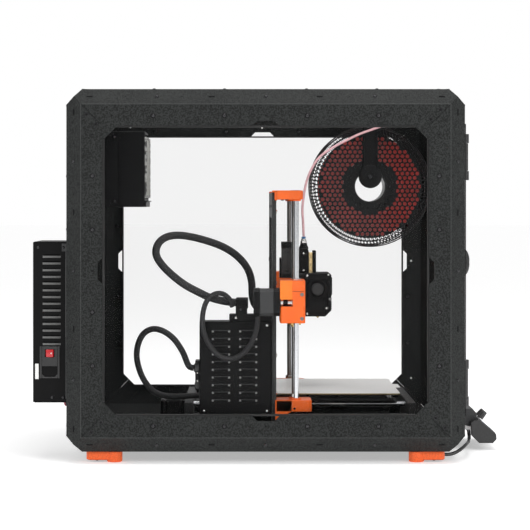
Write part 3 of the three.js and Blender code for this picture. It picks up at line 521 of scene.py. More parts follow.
class Graph:
    """Adds nodes and links to one node tree."""

    def __init__(self, tree: bpy.types.NodeTree) -> None:
        self.tree = tree

    def add(self, kind: str, **values: object) -> bpy.types.Node:
        """Adds a node and sets its properties and unlinked inputs.

        Args:
            kind: The node's type name without its ShaderNode prefix.
            values: Properties by attribute name, and inputs by name with spaces as underscores.

        Returns:
            The node.
        """
        node = self.tree.nodes.new(f"ShaderNode{kind}")
        for key, value in values.items():
            if hasattr(node, key) and key not in node.inputs:
                setattr(node, key, value)
            elif isinstance(value, bpy.types.NodeSocket):
                self.tree.links.new(value, node.inputs[key.replace("_", " ")])
            else:
                node.inputs[key.replace("_", " ")].default_value = value
        return node

    def link(self, source: bpy.types.NodeSocket, target: bpy.types.NodeSocket) -> None:
        """Joins two sockets."""
        self.tree.links.new(source, target)

    def maths(self, operation: str, first: object, second: object = 0.0) -> bpy.types.NodeSocket:
        """One arithmetic step on sockets or numbers."""
        node = self.tree.nodes.new("ShaderNodeMath")
        node.operation = operation
        for place, value in enumerate((first, second)):
            if isinstance(value, bpy.types.NodeSocket):
                self.link(value, node.inputs[place])
            else:
                node.inputs[place].default_value = float(value)
        return node.outputs[0]

    def ramp(self, value: bpy.types.NodeSocket, low: float, high: float, to_low: float = 0.0, to_high: float = 1.0) -> bpy.types.NodeSocket:
        """Stretches a value between two limits to two others, smoothly and clamped."""
        node = self.tree.nodes.new("ShaderNodeMapRange")
        node.interpolation_type = "SMOOTHSTEP"
        self.link(value, node.inputs["Value"])
        for name, number in (("From Min", low), ("From Max", high), ("To Min", to_low), ("To Max", to_high)):
            node.inputs[name].default_value = number
        return node.outputs["Result"]

    def mix(self, factor: object, first: object, second: object) -> bpy.types.NodeSocket:
        """Mixes two colours."""
        node = self.tree.nodes.new("ShaderNodeMix")
        node.data_type = "RGBA"
        for place, value in ((0, factor), (6, first), (7, second)):
            if isinstance(value, bpy.types.NodeSocket):
                self.link(value, node.inputs[place])
            elif place == 0:
                node.inputs[0].default_value = float(value)
            else:
                node.inputs[place].default_value = (*value, 1.0)
        return node.outputs[2]


def make_group(
    name: str, inputs: Sequence[tuple[str, str, float]], outputs: Sequence[tuple[str, str]],
    fill: Callable[[Graph, bpy.types.Node], dict[str, bpy.types.NodeSocket]],
) -> bpy.types.NodeTree:
    """Makes a reusable shader group.

    Args:
        name: The group's name.
        inputs: Each input's name, socket type and default.
        outputs: Each output's name and socket type.
        fill: Builds the inside from the input node and returns a socket for each output.

    Returns:
        The group.
    """
    tree = bpy.data.node_groups.new(name, "ShaderNodeTree")
    for label, kind, default in inputs:
        socket = tree.interface.new_socket(name=label, in_out="INPUT", socket_type=kind)
        if kind == "NodeSocketFloat":
            socket.default_value = default
    for label, kind in outputs:
        tree.interface.new_socket(name=label, in_out="OUTPUT", socket_type=kind)
    graph = Graph(tree)
    entry = tree.nodes.new("NodeGroupInput")
    leave = tree.nodes.new("NodeGroupOutput")
    for label, socket in fill(graph, entry).items():
        graph.link(socket, leave.inputs[label])
    return tree


FLOAT = "NodeSocketFloat"


def fill_grain(g: Graph, entry: bpy.types.Node) -> dict[str, bpy.types.NodeSocket]:
    """Fine pitted grain: small noise for the pits and slow noise for the tone."""
    place = g.add("TexCoord").outputs["Object"]
    fine = g.add("TexNoise", Vector=place, Scale=entry.outputs["Scale"], Detail=3.0, Roughness=0.6)
    slow = g.add("TexNoise", Vector=place, Scale=14.0, Detail=4.0, Roughness=0.55)
    specks = g.add("TexVoronoi", Vector=place, Scale=g.maths("MULTIPLY", entry.outputs["Scale"], 0.7))
    pits = g.ramp(specks.outputs["Distance"], 0.0, 0.45)
    height = g.maths("MULTIPLY", fine.outputs["Fac"], pits)
    flecks = g.add("TexNoise", Vector=place, Scale=g.maths("MULTIPLY", entry.outputs["Scale"], 0.45), Detail=2.0)
    tone = g.maths("ADD", g.maths("MULTIPLY", slow.outputs["Fac"], 0.3), g.maths("MULTIPLY", g.ramp(flecks.outputs["Fac"], 0.3, 0.7), 0.7))
    return {"Height": height, "Tone": tone, "Speck": fine.outputs["Fac"]}


def fill_edges(g: Graph, entry: bpy.types.Node) -> dict[str, bpy.types.NodeSocket]:
    """Edge mask: how far the rounded normal turns from the flat one, broken up by noise."""
    flat = g.add("NewGeometry").outputs["Normal"]
    bevel = g.add("Bevel", samples=4, Radius=entry.outputs["Radius"])
    node = g.tree.nodes.new("ShaderNodeVectorMath")
    node.operation = "DOT_PRODUCT"
    g.link(flat, node.inputs[0])
    g.link(bevel.outputs["Normal"], node.inputs[1])
    turn = g.maths("SUBTRACT", 1.0, node.outputs["Value"])
    place = g.add("TexCoord").outputs["Object"]
    scuff = g.add("TexNoise", Vector=place, Scale=160.0, Detail=5.0).outputs["Fac"]
    broken = g.maths("MULTIPLY", g.ramp(turn, 0.02, 0.3), g.ramp(scuff, 0.4, 0.7))
    return {"Mask": broken, "Normal": bevel.outputs["Normal"]}


def fill_dust(g: Graph, entry: bpy.types.Node) -> dict[str, bpy.types.NodeSocket]:
    """Dust mask: strongest where the surface looks up, in soft drifts."""
    place = g.add("TexCoord").outputs["Object"]
    split = g.add("SeparateXYZ", Vector=g.add("NewGeometry").outputs["Normal"])
    up = g.ramp(split.outputs["Z"], 0.5, 1.0)
    drift = g.add("TexNoise", Vector=place, Scale=26.0, Detail=6.0, Roughness=0.65).outputs["Fac"]
    fine = g.add("TexNoise", Vector=place, Scale=900.0, Detail=2.0).outputs["Fac"]
    fall = g.maths("MULTIPLY", g.ramp(drift, 0.35, 0.75), g.ramp(fine, 0.35, 0.7))
    return {"Mask": g.maths("MULTIPLY", g.maths("MULTIPLY", up, fall), entry.outputs["Amount"])}


def fill_layers(g: Graph, entry: bpy.types.Node) -> dict[str, bpy.types.NodeSocket]:
    """Printed layers: a fine wave up the Z axis that wanders a little."""
    place = g.add("TexCoord").outputs["Object"]
    wave = g.add("TexWave", wave_type="BANDS", bands_direction="Z", Vector=place, Distortion=0.6, Detail=1.0)
    g.link(entry.outputs["Scale"], wave.inputs["Scale"])
    patch = g.add("TexNoise", Vector=place, Scale=55.0, Detail=3.0).outputs["Fac"]
    return {"Height": wave.outputs["Fac"], "Tone": patch}


def fill_brush(g: Graph, entry: bpy.types.Node) -> dict[str, bpy.types.NodeSocket]:
    """Drawn lines: noise stretched along one axis, for ground and brushed metal."""
    place = g.add("TexCoord").outputs["Object"]
    stretch = g.add("Mapping", Vector=place)
    join = g.add("CombineXYZ", X=entry.outputs["X"], Y=entry.outputs["Y"], Z=entry.outputs["Z"])
    g.link(join.outputs[0], stretch.inputs["Scale"])
    lines = g.add("TexNoise", Vector=stretch.outputs[0], Scale=1.0, Detail=3.0).outputs["Fac"]
    return {"Height": lines}


def fill_braid(g: Graph, entry: bpy.types.Node) -> dict[str, bpy.types.NodeSocket]:
    """Braid: two crossing sets of diagonal waves on the tube's own map."""
    place = g.add("UVMap", uv_map="run").outputs["UV"]
    split = g.add("SeparateXYZ", Vector=place)
    sets = []
    for sign in (1.0, -1.0):
        lean = g.maths("MULTIPLY", split.outputs["Y"], sign)
        phase = g.maths("MULTIPLY", g.maths("ADD", split.outputs["X"], lean), entry.outputs["Scale"])
        sets.append(g.maths("ABSOLUTE", g.maths("SINE", phase)))
    return {"Height": g.maths("MAXIMUM", sets[0], sets[1])}


def fill_winding(g: Graph, entry: bpy.types.Node) -> dict[str, bpy.types.NodeSocket]:
    """Windings: round strands side by side along X, with some strands lighter than others."""
    place = g.add("TexCoord").outputs["Object"]
    split = g.add("SeparateXYZ", Vector=place)
    phase = g.maths("MULTIPLY", split.outputs["X"], entry.outputs["Scale"])
    strand = g.maths("ABSOLUTE", g.maths("SINE", phase))
    stretch = g.add("Mapping", Vector=place, Scale=(900.0, 20.0, 20.0))
    tone = g.add("TexNoise", Vector=stretch.outputs[0], Scale=1.0, Detail=2.0).outputs["Fac"]
    return {"Height": strand, "Tone": tone}


class Groups:
    """The shader groups that the finishes share."""

    def __init__(self) -> None:
        self.grain = make_group("surface_grain", [("Scale", FLOAT, 900.0)], [("Height", FLOAT), ("Tone", FLOAT), ("Speck", FLOAT)], fill_grain)
        self.edges = make_group("edge_wear", [("Radius", FLOAT, 0.0008)], [("Mask", FLOAT), ("Normal", "NodeSocketVector")], fill_edges)
        self.dust = make_group("settled_dust", [("Amount", FLOAT, 0.3)], [("Mask", FLOAT)], fill_dust)
        self.layers = make_group("printed_layers", [("Scale", FLOAT, 800.0)], [("Height", FLOAT), ("Tone", FLOAT)], fill_layers)
        self.brush = make_group("drawn_lines", [("X", FLOAT, 1.0), ("Y", FLOAT, 1.0), ("Z", FLOAT, 1.0)], [("Height", FLOAT)], fill_brush)
        self.braid = make_group("braid", [("Scale", FLOAT, 1.0)], [("Height", FLOAT)], fill_braid)
        self.winding = make_group("winding", [("Scale", FLOAT, 1.0)], [("Height", FLOAT), ("Tone", FLOAT)], fill_winding)

    @staticmethod
    def use(graph: Graph, group: bpy.types.NodeTree, **values: float) -> bpy.types.Node:
        """Adds one of the groups to a material and sets its inputs."""
        node = graph.tree.nodes.new("ShaderNodeGroup")
        node.node_tree = group
        for key, value in values.items():
            node.inputs[key].default_value = value
        return node


GROUPS = Groups()


@dataclass(frozen=True)
class Finish:
    """A plain moulded or coated surface with grain, worn edges and dust.

    Args:
        name: The material's name.
        colour: Linear base colour.
        roughness: How rough it is between its specks.
        grain: Grain cells to the metre.
        depth: Height of the grain in millimetres.
        worn: Colour that edges wear to.
        wear: How strongly the edges show it.
        dust: How much dust lies on what looks up.
        metallic: 1 for bare metal.
        specular: Strength of the clear reflection.
        coat: Weight of a clear coat.
        soften: Radius that sharp edges are shaded with, in millimetres.
    """

    name: str
    colour: Colour
    roughness: float = 0.5
    grain: float = 1400.0
    depth: float = 0.05
    worn: Colour = (0.25, 0.25, 0.25)
    wear: float = 0.25
    dust: float = 0.12
    metallic: float = 0.0
    specular: float = 0.5
    coat: float = 0.0
    soften: float = 0.5
    tone: float = 0.22

    def pattern(self, g: Graph) -> tuple[bpy.types.NodeSocket, bpy.types.NodeSocket]:
        """The pattern that gives this finish its relief and its colour variation.

        Args:
            g: The material's graph.

        Returns:
            A height socket and a tone socket, both from 0 to 1.
        """
        node = GROUPS.use(g, GROUPS.grain, Scale=self.grain)
        return node.outputs["Height"], node.outputs["Tone"]

    def shader(self, g: Graph, colour: bpy.types.NodeSocket, roughness: bpy.types.NodeSocket, normal: bpy.types.NodeSocket) -> bpy.types.Node:
        """The Principled shader with this finish's constants."""
        node = g.add("BsdfPrincipled", Metallic=self.metallic)
        node.inputs["Specular IOR Level"].default_value = self.specular
        node.inputs["Coat Weight"].default_value = self.coat
        node.inputs["Coat Roughness"].default_value = 0.12
        g.link(colour, node.inputs["Base Color"])
        g.link(roughness, node.inputs["Roughness"])
        g.link(normal, node.inputs["Normal"])
        return node

    def material(self) -> bpy.types.Material:
        """Builds the material.

        Returns:
            The new material.
        """
        material = bpy.data.materials.new(self.name)
        material.use_nodes = True
        material.diffuse_color = (*self.colour, 1.0)
        tree = material.node_tree
        tree.nodes.clear()
        g = Graph(tree)
        height, tone = self.pattern(g)
        edges = GROUPS.use(g, GROUPS.edges, Radius=self.soften * MM)
        dust = GROUPS.use(g, GROUPS.dust, Amount=self.dust)
        dark = tuple(c * (1 - self.tone) for c in self.colour)
        light = tuple(min(c * (1 + self.tone), 1.0) for c in self.colour)
        base = g.mix(g.ramp(tone, 0.3, 0.7), dark, light)
        worn = g.mix(g.maths("MULTIPLY", edges.outputs["Mask"], self.wear), base, self.worn)
        dusty = g.mix(dust.outputs["Mask"], worn, (0.42, 0.40, 0.37))
        rough = g.maths("ADD", g.ramp(height, 0.0, 1.0, self.roughness * 0.85, min(self.roughness * 1.15, 1.0)), g.maths("MULTIPLY", dust.outputs["Mask"], 0.4))
        bump = g.add("Bump", Strength=1.0, Distance=self.depth * MM, Height=height, Normal=edges.outputs["Normal"])
        shader = self.shader(g, dusty, rough, bump.outputs["Normal"])
        g.link(shader.outputs[0], g.add("OutputMaterial").inputs["Surface"])
        return material


@dataclass(frozen=True)
class PrintedFinish(Finish):
    """Printed plastic with fine horizontal layers."""

    layers: float = 520.0

    def pattern(self, g: Graph) -> tuple[bpy.types.NodeSocket, bpy.types.NodeSocket]:
        node = GROUPS.use(g, GROUPS.layers, Scale=self.layers)
        return node.outputs["Height"], node.outputs["Tone"]


@dataclass(frozen=True)
class DrawnFinish(Finish):
    """Metal with fine lines along one direction."""

    lines: tuple[float, float, float] = (3000.0, 3000.0, 30.0)

    def pattern(self, g: Graph) -> tuple[bpy.types.NodeSocket, bpy.types.NodeSocket]:
        node = GROUPS.use(g, GROUPS.brush, X=self.lines[0], Y=self.lines[1], Z=self.lines[2])
        return node.outputs["Height"], node.outputs["Height"]


@dataclass(frozen=True)
class BraidFinish(Finish):
    """A braided sleeve on a tube that carries its own map."""

    pitch: float = 2200.0

    def pattern(self, g: Graph) -> tuple[bpy.types.NodeSocket, bpy.types.NodeSocket]:
        node = GROUPS.use(g, GROUPS.braid, Scale=self.pitch)
        return node.outputs["Height"], node.outputs["Height"]


@dataclass(frozen=True)
class WindingFinish(Finish):
    """Filament wound side by side."""

    pitch: float = 1800.0

    def pattern(self, g: Graph) -> tuple[bpy.types.NodeSocket, bpy.types.NodeSocket]:
        node = GROUPS.use(g, GROUPS.winding, Scale=self.pitch)
        return node.outputs["Height"], node.outputs["Tone"]


@dataclass(frozen=True)
class ClearFinish(Finish):
    """Clear sheet: mostly see-through, with faint smears in its gloss."""

    alpha: float = 0.08

    def shader(self, g: Graph, colour: bpy.types.NodeSocket, roughness: bpy.types.NodeSocket, normal: bpy.types.NodeSocket) -> bpy.types.Node:
        node = super().shader(g, colour, roughness, normal)
        node.inputs["Alpha"].default_value = self.alpha
        return node


@dataclass(frozen=True)
class GlowFinish(Finish):
    """A lit surface, for the screen's backlight."""

    light: Colour = (0.1, 0.2, 0.5)

    def shader(self, g: Graph, colour: bpy.types.NodeSocket, roughness: bpy.types.NodeSocket, normal: bpy.types.NodeSocket) -> bpy.types.Node:
        node = super().shader(g, colour, roughness, normal)
        node.inputs["Emission Color"].default_value = (*self.light, 1.0)
        node.inputs["Emission Strength"].default_value = 0.6
        return node


class Palette:
    """Every material of the object, made once."""

    def __init__(self) -> None:
        make = self.make
        self.coat = make(Finish("powder_coat", (0.0145, 0.016, 0.0155), 0.6, 1150.0, 0.34, (0.12, 0.12, 0.12), 0.3, 0.06, specular=0.22, soften=0.9, tone=0.6))
        # painted highlight: a lighter coat for the thin lines along the frame's bends
        self.bend = make(Finish("painted_bend_highlight", (0.055, 0.058, 0.057), 0.5, 1500.0, 0.05, (0.2, 0.2, 0.2), 0.3, 0.0, specular=0.25, tone=0.3))
        # painted highlight: a lighter grey for the supply's louvre lips and edge strip, standing in for the light that
        # they catch
        self.lip = make(Finish("louvre_lip_highlight", (0.13, 0.13, 0.128), 0.45, 1200.0, 0.02, (0.3, 0.3, 0.3), 0.3, 0.0, specular=0.3, tone=0.1))
        self.gate = make(Finish("gate_coat", (0.026, 0.027, 0.027), 0.5, 1900.0, 0.07, (0.2, 0.2, 0.2), 0.35, 0.06, specular=0.3, soften=0.5))
        self.inner = make(Finish("inner_coat", (0.0075, 0.0075, 0.008), 0.6, 1500.0, 0.12, (0.05, 0.05, 0.05), 0.2, 0.05, specular=0.14, soften=0.6))
        self.box = make(Finish("box_coat", (0.0028, 0.0028, 0.003), 0.42, 1700.0, 0.06, (0.06, 0.06, 0.06), 0.25, 0.03, specular=0.14))
        self.black = make(Finish("black_moulding", (0.0038, 0.0038, 0.0042), 0.42, 1300.0, 0.05, (0.05, 0.05, 0.05), 0.3, 0.03, specular=0.18))
        self.satin = make(Finish("satin_black", (0.009, 0.009, 0.0095), 0.3, 1200.0, 0.02, (0.05, 0.05, 0.05), 0.2, 0.05, coat=0.25))
        self.printed_black = make(PrintedFinish("printed_black", (0.0045, 0.0045, 0.005), 0.45, depth=0.05, worn=(0.04, 0.04, 0.04), dust=0.03, specular=0.18))
        self.orange = make(PrintedFinish("printed_orange", (0.90, 0.135, 0.008), 0.42, depth=0.05, worn=(1.0, 0.3, 0.08), wear=0.4, dust=0.03, tone=0.06, soften=0.6))
        self.light_orange = make(PrintedFinish("light_orange", (1.0, 0.21, 0.012), 0.4, depth=0.05, worn=(1.0, 0.35, 0.08), wear=0.4, dust=0.02, tone=0.06, soften=0.6))
        self.foot = make(Finish("orange_rubber", (0.90, 0.125, 0.014), 0.45, 1000.0, 0.04, (1.0, 0.3, 0.08), 0.3, 0.03, tone=0.08, soften=0.8))
        self.rubber = make(Finish("black_rubber", (0.012, 0.012, 0.012), 0.7, 1500.0, 0.05, (0.05, 0.05, 0.05), 0.2, 0.1))
        self.chrome = make(DrawnFinish("ground_rod", (0.72, 0.73, 0.75), 0.14, depth=0.002, worn=(0.8, 0.8, 0.8), wear=0.1, dust=0.0, metallic=1.0, tone=0.05, lines=(2600.0, 2600.0, 2600.0)))
        self.bright = make(Finish("bright_screw", (0.72, 0.72, 0.70), 0.24, 900.0, 0.01, (0.9, 0.9, 0.9), 0.3, 0.0, 1.0, soften=0.3, tone=0.06))
        self.dark_screw = make(Finish("black_screw", (0.035, 0.035, 0.037), 0.22, 900.0, 0.01, (0.4, 0.4, 0.4), 0.7, 0.04, 0.7, soften=0.35))
        self.steel = make(DrawnFinish("lead_screw_steel", (0.23, 0.22, 0.21), 0.3, depth=0.004, worn=(0.6, 0.6, 0.6), wear=0.5, dust=0.0, metallic=1.0, soften=0.3))
        self.brass = make(Finish("brass", (0.72, 0.50, 0.20), 0.28, 900.0, 0.01, (0.95, 0.8, 0.5), 0.4, 0.0, 1.0, soften=0.3))
        self.gold_strip = make(Finish("tinned_strip", (0.86, 0.66, 0.36), 0.35, 700.0, 0.02, (1.0, 0.9, 0.6), 0.4, 0.0, 0.35, soften=0.3))
        self.sheet = make(Finish("print_sheet", (0.95, 0.945, 0.925), 0.34, 2200.0, 0.03, (0.8, 0.78, 0.7), 0.3, 0.0, 0.1, soften=0.3, tone=0.05))
        self.sheet_edge = make(Finish("sheet_edge", (0.36, 0.29, 0.10), 0.45, 900.0, 0.02, (0.6, 0.5, 0.3), 0.3, 0.0, 0.4, soften=0.2))
        self.board = make(Finish("heater_board", (0.013, 0.012, 0.010), 0.4, 1300.0, 0.02, (0.1, 0.09, 0.05), 0.3, 0.03))
        self.clear = make(ClearFinish("clear_window", (0.02, 0.022, 0.022), 0.04, 40.0, 0.0, (0.1, 0.1, 0.1), 0.1, 0.0, specular=0.5, alpha=0.03, tone=0.02))
        self.clear_edge = make(ClearFinish("clear_edge", (0.25, 0.30, 0.31), 0.2, 200.0, 0.01, (0.7, 0.7, 0.7), 0.1, 0.0, alpha=0.55, tone=0.05))
        self.red = make(Finish("rocker_red", (0.55, 0.006, 0.012), 0.22, 600.0, 0.01, (0.8, 0.1, 0.1), 0.3, 0.0, coat=0.5, tone=0.05))
        self.white = make(Finish("white_mark", (0.85, 0.85, 0.83), 0.55, 900.0, 0.01, (0.9, 0.9, 0.9), 0.1, 0.0, tone=0.03))
        self.paper = make(Finish("filter_paper", (0.72, 0.72, 0.68), 0.85, 1500.0, 0.08, (0.8, 0.8, 0.8), 0.1, 0.08, tone=0.08))
        self.grey_wrap = make(Finish("filter_frame", (0.30, 0.30, 0.29), 0.6, 260.0, 0.06, (0.5, 0.5, 0.5), 0.2, 0.0, tone=0.8))
        self.grey_label = make(Finish("grey_plate", (0.045, 0.047, 0.047), 0.5, 1300.0, 0.04, (0.15, 0.15, 0.15), 0.3, 0.04))
        self.spool = make(Finish("spool_moulding", (0.0045, 0.0045, 0.005), 0.34, 900.0, 0.02, (0.04, 0.04, 0.04), 0.3, 0.02, specular=0.25, coat=0.1))
        self.filament = make(WindingFinish("red_filament", (0.40, 0.018, 0.012), 0.28, depth=0.35, worn=(0.8, 0.1, 0.05), wear=0.1, dust=0.0, coat=0.6, tone=0.25, pitch=1795.0))
        self.braid = make(BraidFinish("braided_sleeve", (0.016, 0.016, 0.017), 0.55, depth=0.25, worn=(0.05, 0.05, 0.05), wear=0.1, dust=0.04, tone=0.35))
        self.cable = make(Finish("cable_jacket", (0.008, 0.008, 0.008), 0.3, 500.0, 0.02, (0.05, 0.05, 0.05), 0.1, 0.03, coat=0.3))
        self.pink = make(ClearFinish("guide_tube", (0.86, 0.50, 0.53), 0.25, 400.0, 0.01, (0.9, 0.7, 0.7), 0.1, 0.0, specular=0.6, alpha=0.86, tone=0.06))
        self.blue = make(Finish("blue_collet", (0.02, 0.16, 0.38), 0.3, 500.0, 0.01, (0.2, 0.4, 0.7), 0.3, 0.0, tone=0.05))
        self.teal = make(Finish("teal_wire", (0.01, 0.22, 0.24), 0.35, 500.0, 0.01, (0.1, 0.3, 0.3), 0.1, 0.0, tone=0.05))
        # painted highlight: light grey glints at the ends of the control box's louvres
        self.glint = make(Finish("painted_louvre_glint", (0.42, 0.42, 0.41), 0.35, 900.0, 0.01, (0.6, 0.6, 0.6), 0.3, 0.0, 0.5, soften=0.2, tone=0.1))
        self.wire_pink = make(Finish("pink_wire", (0.55, 0.16, 0.20), 0.35, 500.0, 0.01, (0.7, 0.3, 0.3), 0.1, 0.0, tone=0.05))
        self.wire_grey = make(Finish("grey_wire", (0.22, 0.22, 0.22), 0.35, 500.0, 0.01, (0.4, 0.4, 0.4), 0.1, 0.0, tone=0.05))
        self.glass = make(GlowFinish("screen", (0.02, 0.05, 0.14), 0.1, 200.0, 0.0, (0.1, 0.1, 0.1), 0.0, 0.02, coat=1.0, tone=0.02, light=(0.02, 0.06, 0.2)))
        self.bracket = make(Finish("bracket_grey", (0.030, 0.031, 0.032), 0.5, 1500.0, 0.06, (0.15, 0.15, 0.15), 0.3, 0.05))

    @staticmethod
    def make(finish: Finish) -> bpy.types.Material:
        """Builds one finish's material."""
        return finish.material()


# ---------------------------------------------------------------- camera, light and floor


@dataclass(frozen=True)
class Studio:
    """The camera on the window's side, a pale floor and soft light.

    Args:
        distance: From the middle plane to the camera, in millimetres.
        aside: The camera's place along Y from the enclosure's middle.
        height: The camera's height.
        lens: Focal length on a 36 mm wide sensor.
        shift: How far the picture's middle lies from the camera's axis, as shares of its width.
    """

    distance: float = 3220.0
    aside: float = 34.6
    height: float = 398.1
    lens: float = 133.13
    shift: tuple[float, float] = (0.0415, -0.1189)

    def camera(self) -> None:
        """Makes the camera, level and looking along +X."""
        data = bpy.data.cameras.new("camera")
        data.lens = self.lens
        data.sensor_width = 36.0
        data.shift_x, data.shift_y = self.shift
        data.clip_end = 100.0
        camera = bpy.data.objects.new("camera", data)
        camera.location = to_frame((-self.distance, self.aside, self.height))
        camera.rotation_euler = (math.pi / 2, 0.0, -math.pi / 2)
        bpy.context.scene.collection.objects.link(camera)
        bpy.context.scene.camera = camera

    @staticmethod
    def lamp(name: str, place: Point, size: float, watts: float) -> None:
        """Adds one square soft light that looks at the middle of the object."""
        data = bpy.data.lights.new(name, "AREA")
        data.shape = "SQUARE"
        data.size = size
        data.energy = watts
        lamp = bpy.data.objects.new(name, data)
        lamp.location = place
        aim = np.array([0.0, 0.0, 0.3]) - np.array(place)
        lamp.rotation_euler = bpy_direction(aim)
        bpy.context.scene.collection.objects.link(lamp)

    def light(self) -> None:
        """A white surround that the camera sees at full strength, and three soft lights."""
        world = bpy.data.worlds.new("surround")
        bpy.context.scene.world = world
        world.use_nodes = True
        world.node_tree.nodes.clear()
        g = Graph(world.node_tree)
        seen = g.add("LightPath").outputs["Is Camera Ray"]
        strength = g.ramp(seen, 0.0, 1.0, 0.62, 1.0)
        back = g.add("Background", Color=(1.0, 1.0, 1.0, 1.0), Strength=strength)
        g.link(back.outputs[0], g.add("OutputWorld").inputs["Surface"])
        self.lamp("softbox_top", (-0.5, -0.2, 2.4), 1.6, 26.0)
        self.lamp("softbox_front", (-2.0, -1.5, 1.3), 1.0, 16.0)
        self.lamp("softbox_rear", (-1.7, 1.9, 1.2), 1.0, 10.0)

    @staticmethod
    def floor() -> None:
        """A wide pale floor just under the feet."""
        material = bpy.data.materials.new("floor")
        material.use_nodes = True
        shader = material.node_tree.nodes["Principled BSDF"]
        shader.inputs["Base Color"].default_value = (0.9, 0.9, 0.9, 1.0)
        shader.inputs["Roughness"].default_value = 0.9
        shader.inputs["Emission Color"].default_value = (1.0, 1.0, 1.0, 1.0)
        shader.inputs["Emission Strength"].default_value = 0.42
        mesh = bpy.data.meshes.new("floor")
        size = 30.0
        mesh.from_pydata([(-size, -size, 0), (size, -size, 0), (size, size, 0), (-size, size, 0)], [], [(0, 1, 2, 3)])
        mesh.materials.append(material)
        floor = bpy.data.objects.new("floor", mesh)
        floor.location.z = -0.0005
        bpy.context.scene.collection.objects.link(floor)

    def build(self) -> None:
        """Makes the camera, the light and the floor."""
        self.camera()
        self.light()
        self.floor()
        bpy.context.scene.view_settings.view_transform = "Standard"


def bpy_direction(aim: np.ndarray) -> tuple[float, float, float]:
    """Euler angles that turn an object's -Z axis towards a direction."""
    flat = math.hypot(aim[0], aim[1])
    return (math.atan2(flat, -aim[2]), 0.0, math.atan2(aim[1], aim[0]) - math.pi / 2)


# ---------------------------------------------------------------- cords


@dataclass(frozen=True)
class Cord:
    """One cable or tube that follows a smooth route.

    Args:
        name: The piece's name.
        route: Points along its middle.
        radius: Its radius in millimetres.
        nodes: CAD nodes that it stands for.
        ends: The body at its start and the body at its end.
        stiffness: How stiff it is; not used.
        lay: How it lies; not used.
        record_slot: The record's material slot, passed on to the build, which does not use it.
    """

    name: str
    route: Points
    radius: float
    nodes: tuple[str, ...]
    ends: tuple[Body, Body]
    stiffness: str = "medium"
    lay: str = "loose"
    record_slot: str = "cable_black"
    sides: int = 18

    def build(self, material: bpy.types.Material) -> bpy.types.Object:
        """Makes the tube and its own map.

        The map's first coordinate is the length along the tube in radii, and the second the angle round
        it in quarters of a radian, so that a braid keeps its lean on any radius.

        Args:
            material: The cord's material.

        Returns:
            The cord.
        """
        return self.split([(self.name, 0.0, 1.0, *self.ends)], material)[0]

    def split(self, parts: Sequence[tuple[str, float, float, Body, Body]], material: bpy.types.Material) -> list[bpy.types.Object]:
        """Makes the cord in one or more pieces, each between two bodies.

        Args:
            parts: Each piece's name, its start and end as shares of the length, and its two bodies.
            material: The cord's material.

        Returns:
            The pieces in order.
        """
        whole = catmull(self.route, 400)
        total = path_length(whole)
        made = []
        for name, start, end, first, last in parts:
            i0, i1 = round(start * 399), round(end * 399)
            path = whole[i0 : i1 + 1]
            steps = max(12, int(path_length(path) / max(self.radius * 0.7, 2.0)))
            keep = np.linspace(0, len(path) - 1, min(steps, len(path))).round().astype(int)
            path = path[np.unique(keep)]
            shape = Shape().tube(path, self.radius, self.sides)
            cord = shape.build(name, [material], None if first is not last else first, (), self.record_slot, 60.0)
            self.map_run(cord, path)
            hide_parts(*self.nodes)
            points = to_frame(path)
            if first is not last:
                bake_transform(cord)
            round(path_length(path) * MM, 4)
            made.append(cord)
        LOG.info("%s: %.0f mm in all", self.name, total)
        return made

    def map_run(self, cord: bpy.types.Object, path: np.ndarray) -> None:
        """Writes the tube's own map onto its side faces."""
        mesh = cord.data
        layer = mesh.uv_layers.new(name="run")
        run = np.concatenate([[0], np.cumsum(np.linalg.norm(np.diff(path, axis=0), axis=1))]) / self.radius
        corner = np.empty(len(mesh.loops), dtype=np.int32)
        mesh.loops.foreach_get("vertex_index", corner)
        along = run[np.minimum(corner // self.sides, len(path) - 1)]
        angle = (corner % self.sides) / self.sides
        uv = np.column_stack([along, angle * 4 * math.pi / 2]).ravel()
        layer.data.foreach_set("uv", uv.astype(np.float32))


@dataclass(frozen=True)
class CordSet:
    """All cables and the guide tube."""

    thick: float = 6.0
    motor: float = 4.0
    bed: float = 4.75
    tube: float = 2.0
    display: float = 2.75

    def build(self, looks: Palette) -> None:
        """Makes every cord, the extruder lead and the guide tube in two pieces each."""
        root, gantry, head, bed = Body.ENCLOSURE, Body.GANTRY, Body.HEAD, Body.BED
        Cord("extruder_lead", EXTRUDER_ROUTE, self.thick, ("extruder_cable",), (root, head)).split(
            [("extruder_lead_lower", 0.0, 0.47, root, gantry), ("extruder_lead_upper", 0.47, 1.0, gantry, head)], looks.braid
        )
        Cord("motor_lead", MOTOR_ROUTE, self.motor, ("x_motor_cable",), (gantry, root)).build(looks.braid)
        Cord("bed_lead", BED_ROUTE, self.bed, ("bed_cable",), (root, bed)).build(looks.braid)
        Cord("guide_tube", TUBE_ROUTE, self.tube, ("filament_tube",), (head, root), "stiff", "hanging", "tube_pink", 12).split(
            [("guide_tube_lower", 0.0, 0.5, head, gantry), ("guide_tube_upper", 0.5, 1.0, gantry, root)], looks.pink
        )
        Cord("display_lead", DISPLAY_ROUTE, self.display, ("display_cable",), (root, root), sides=14).build(looks.cable)


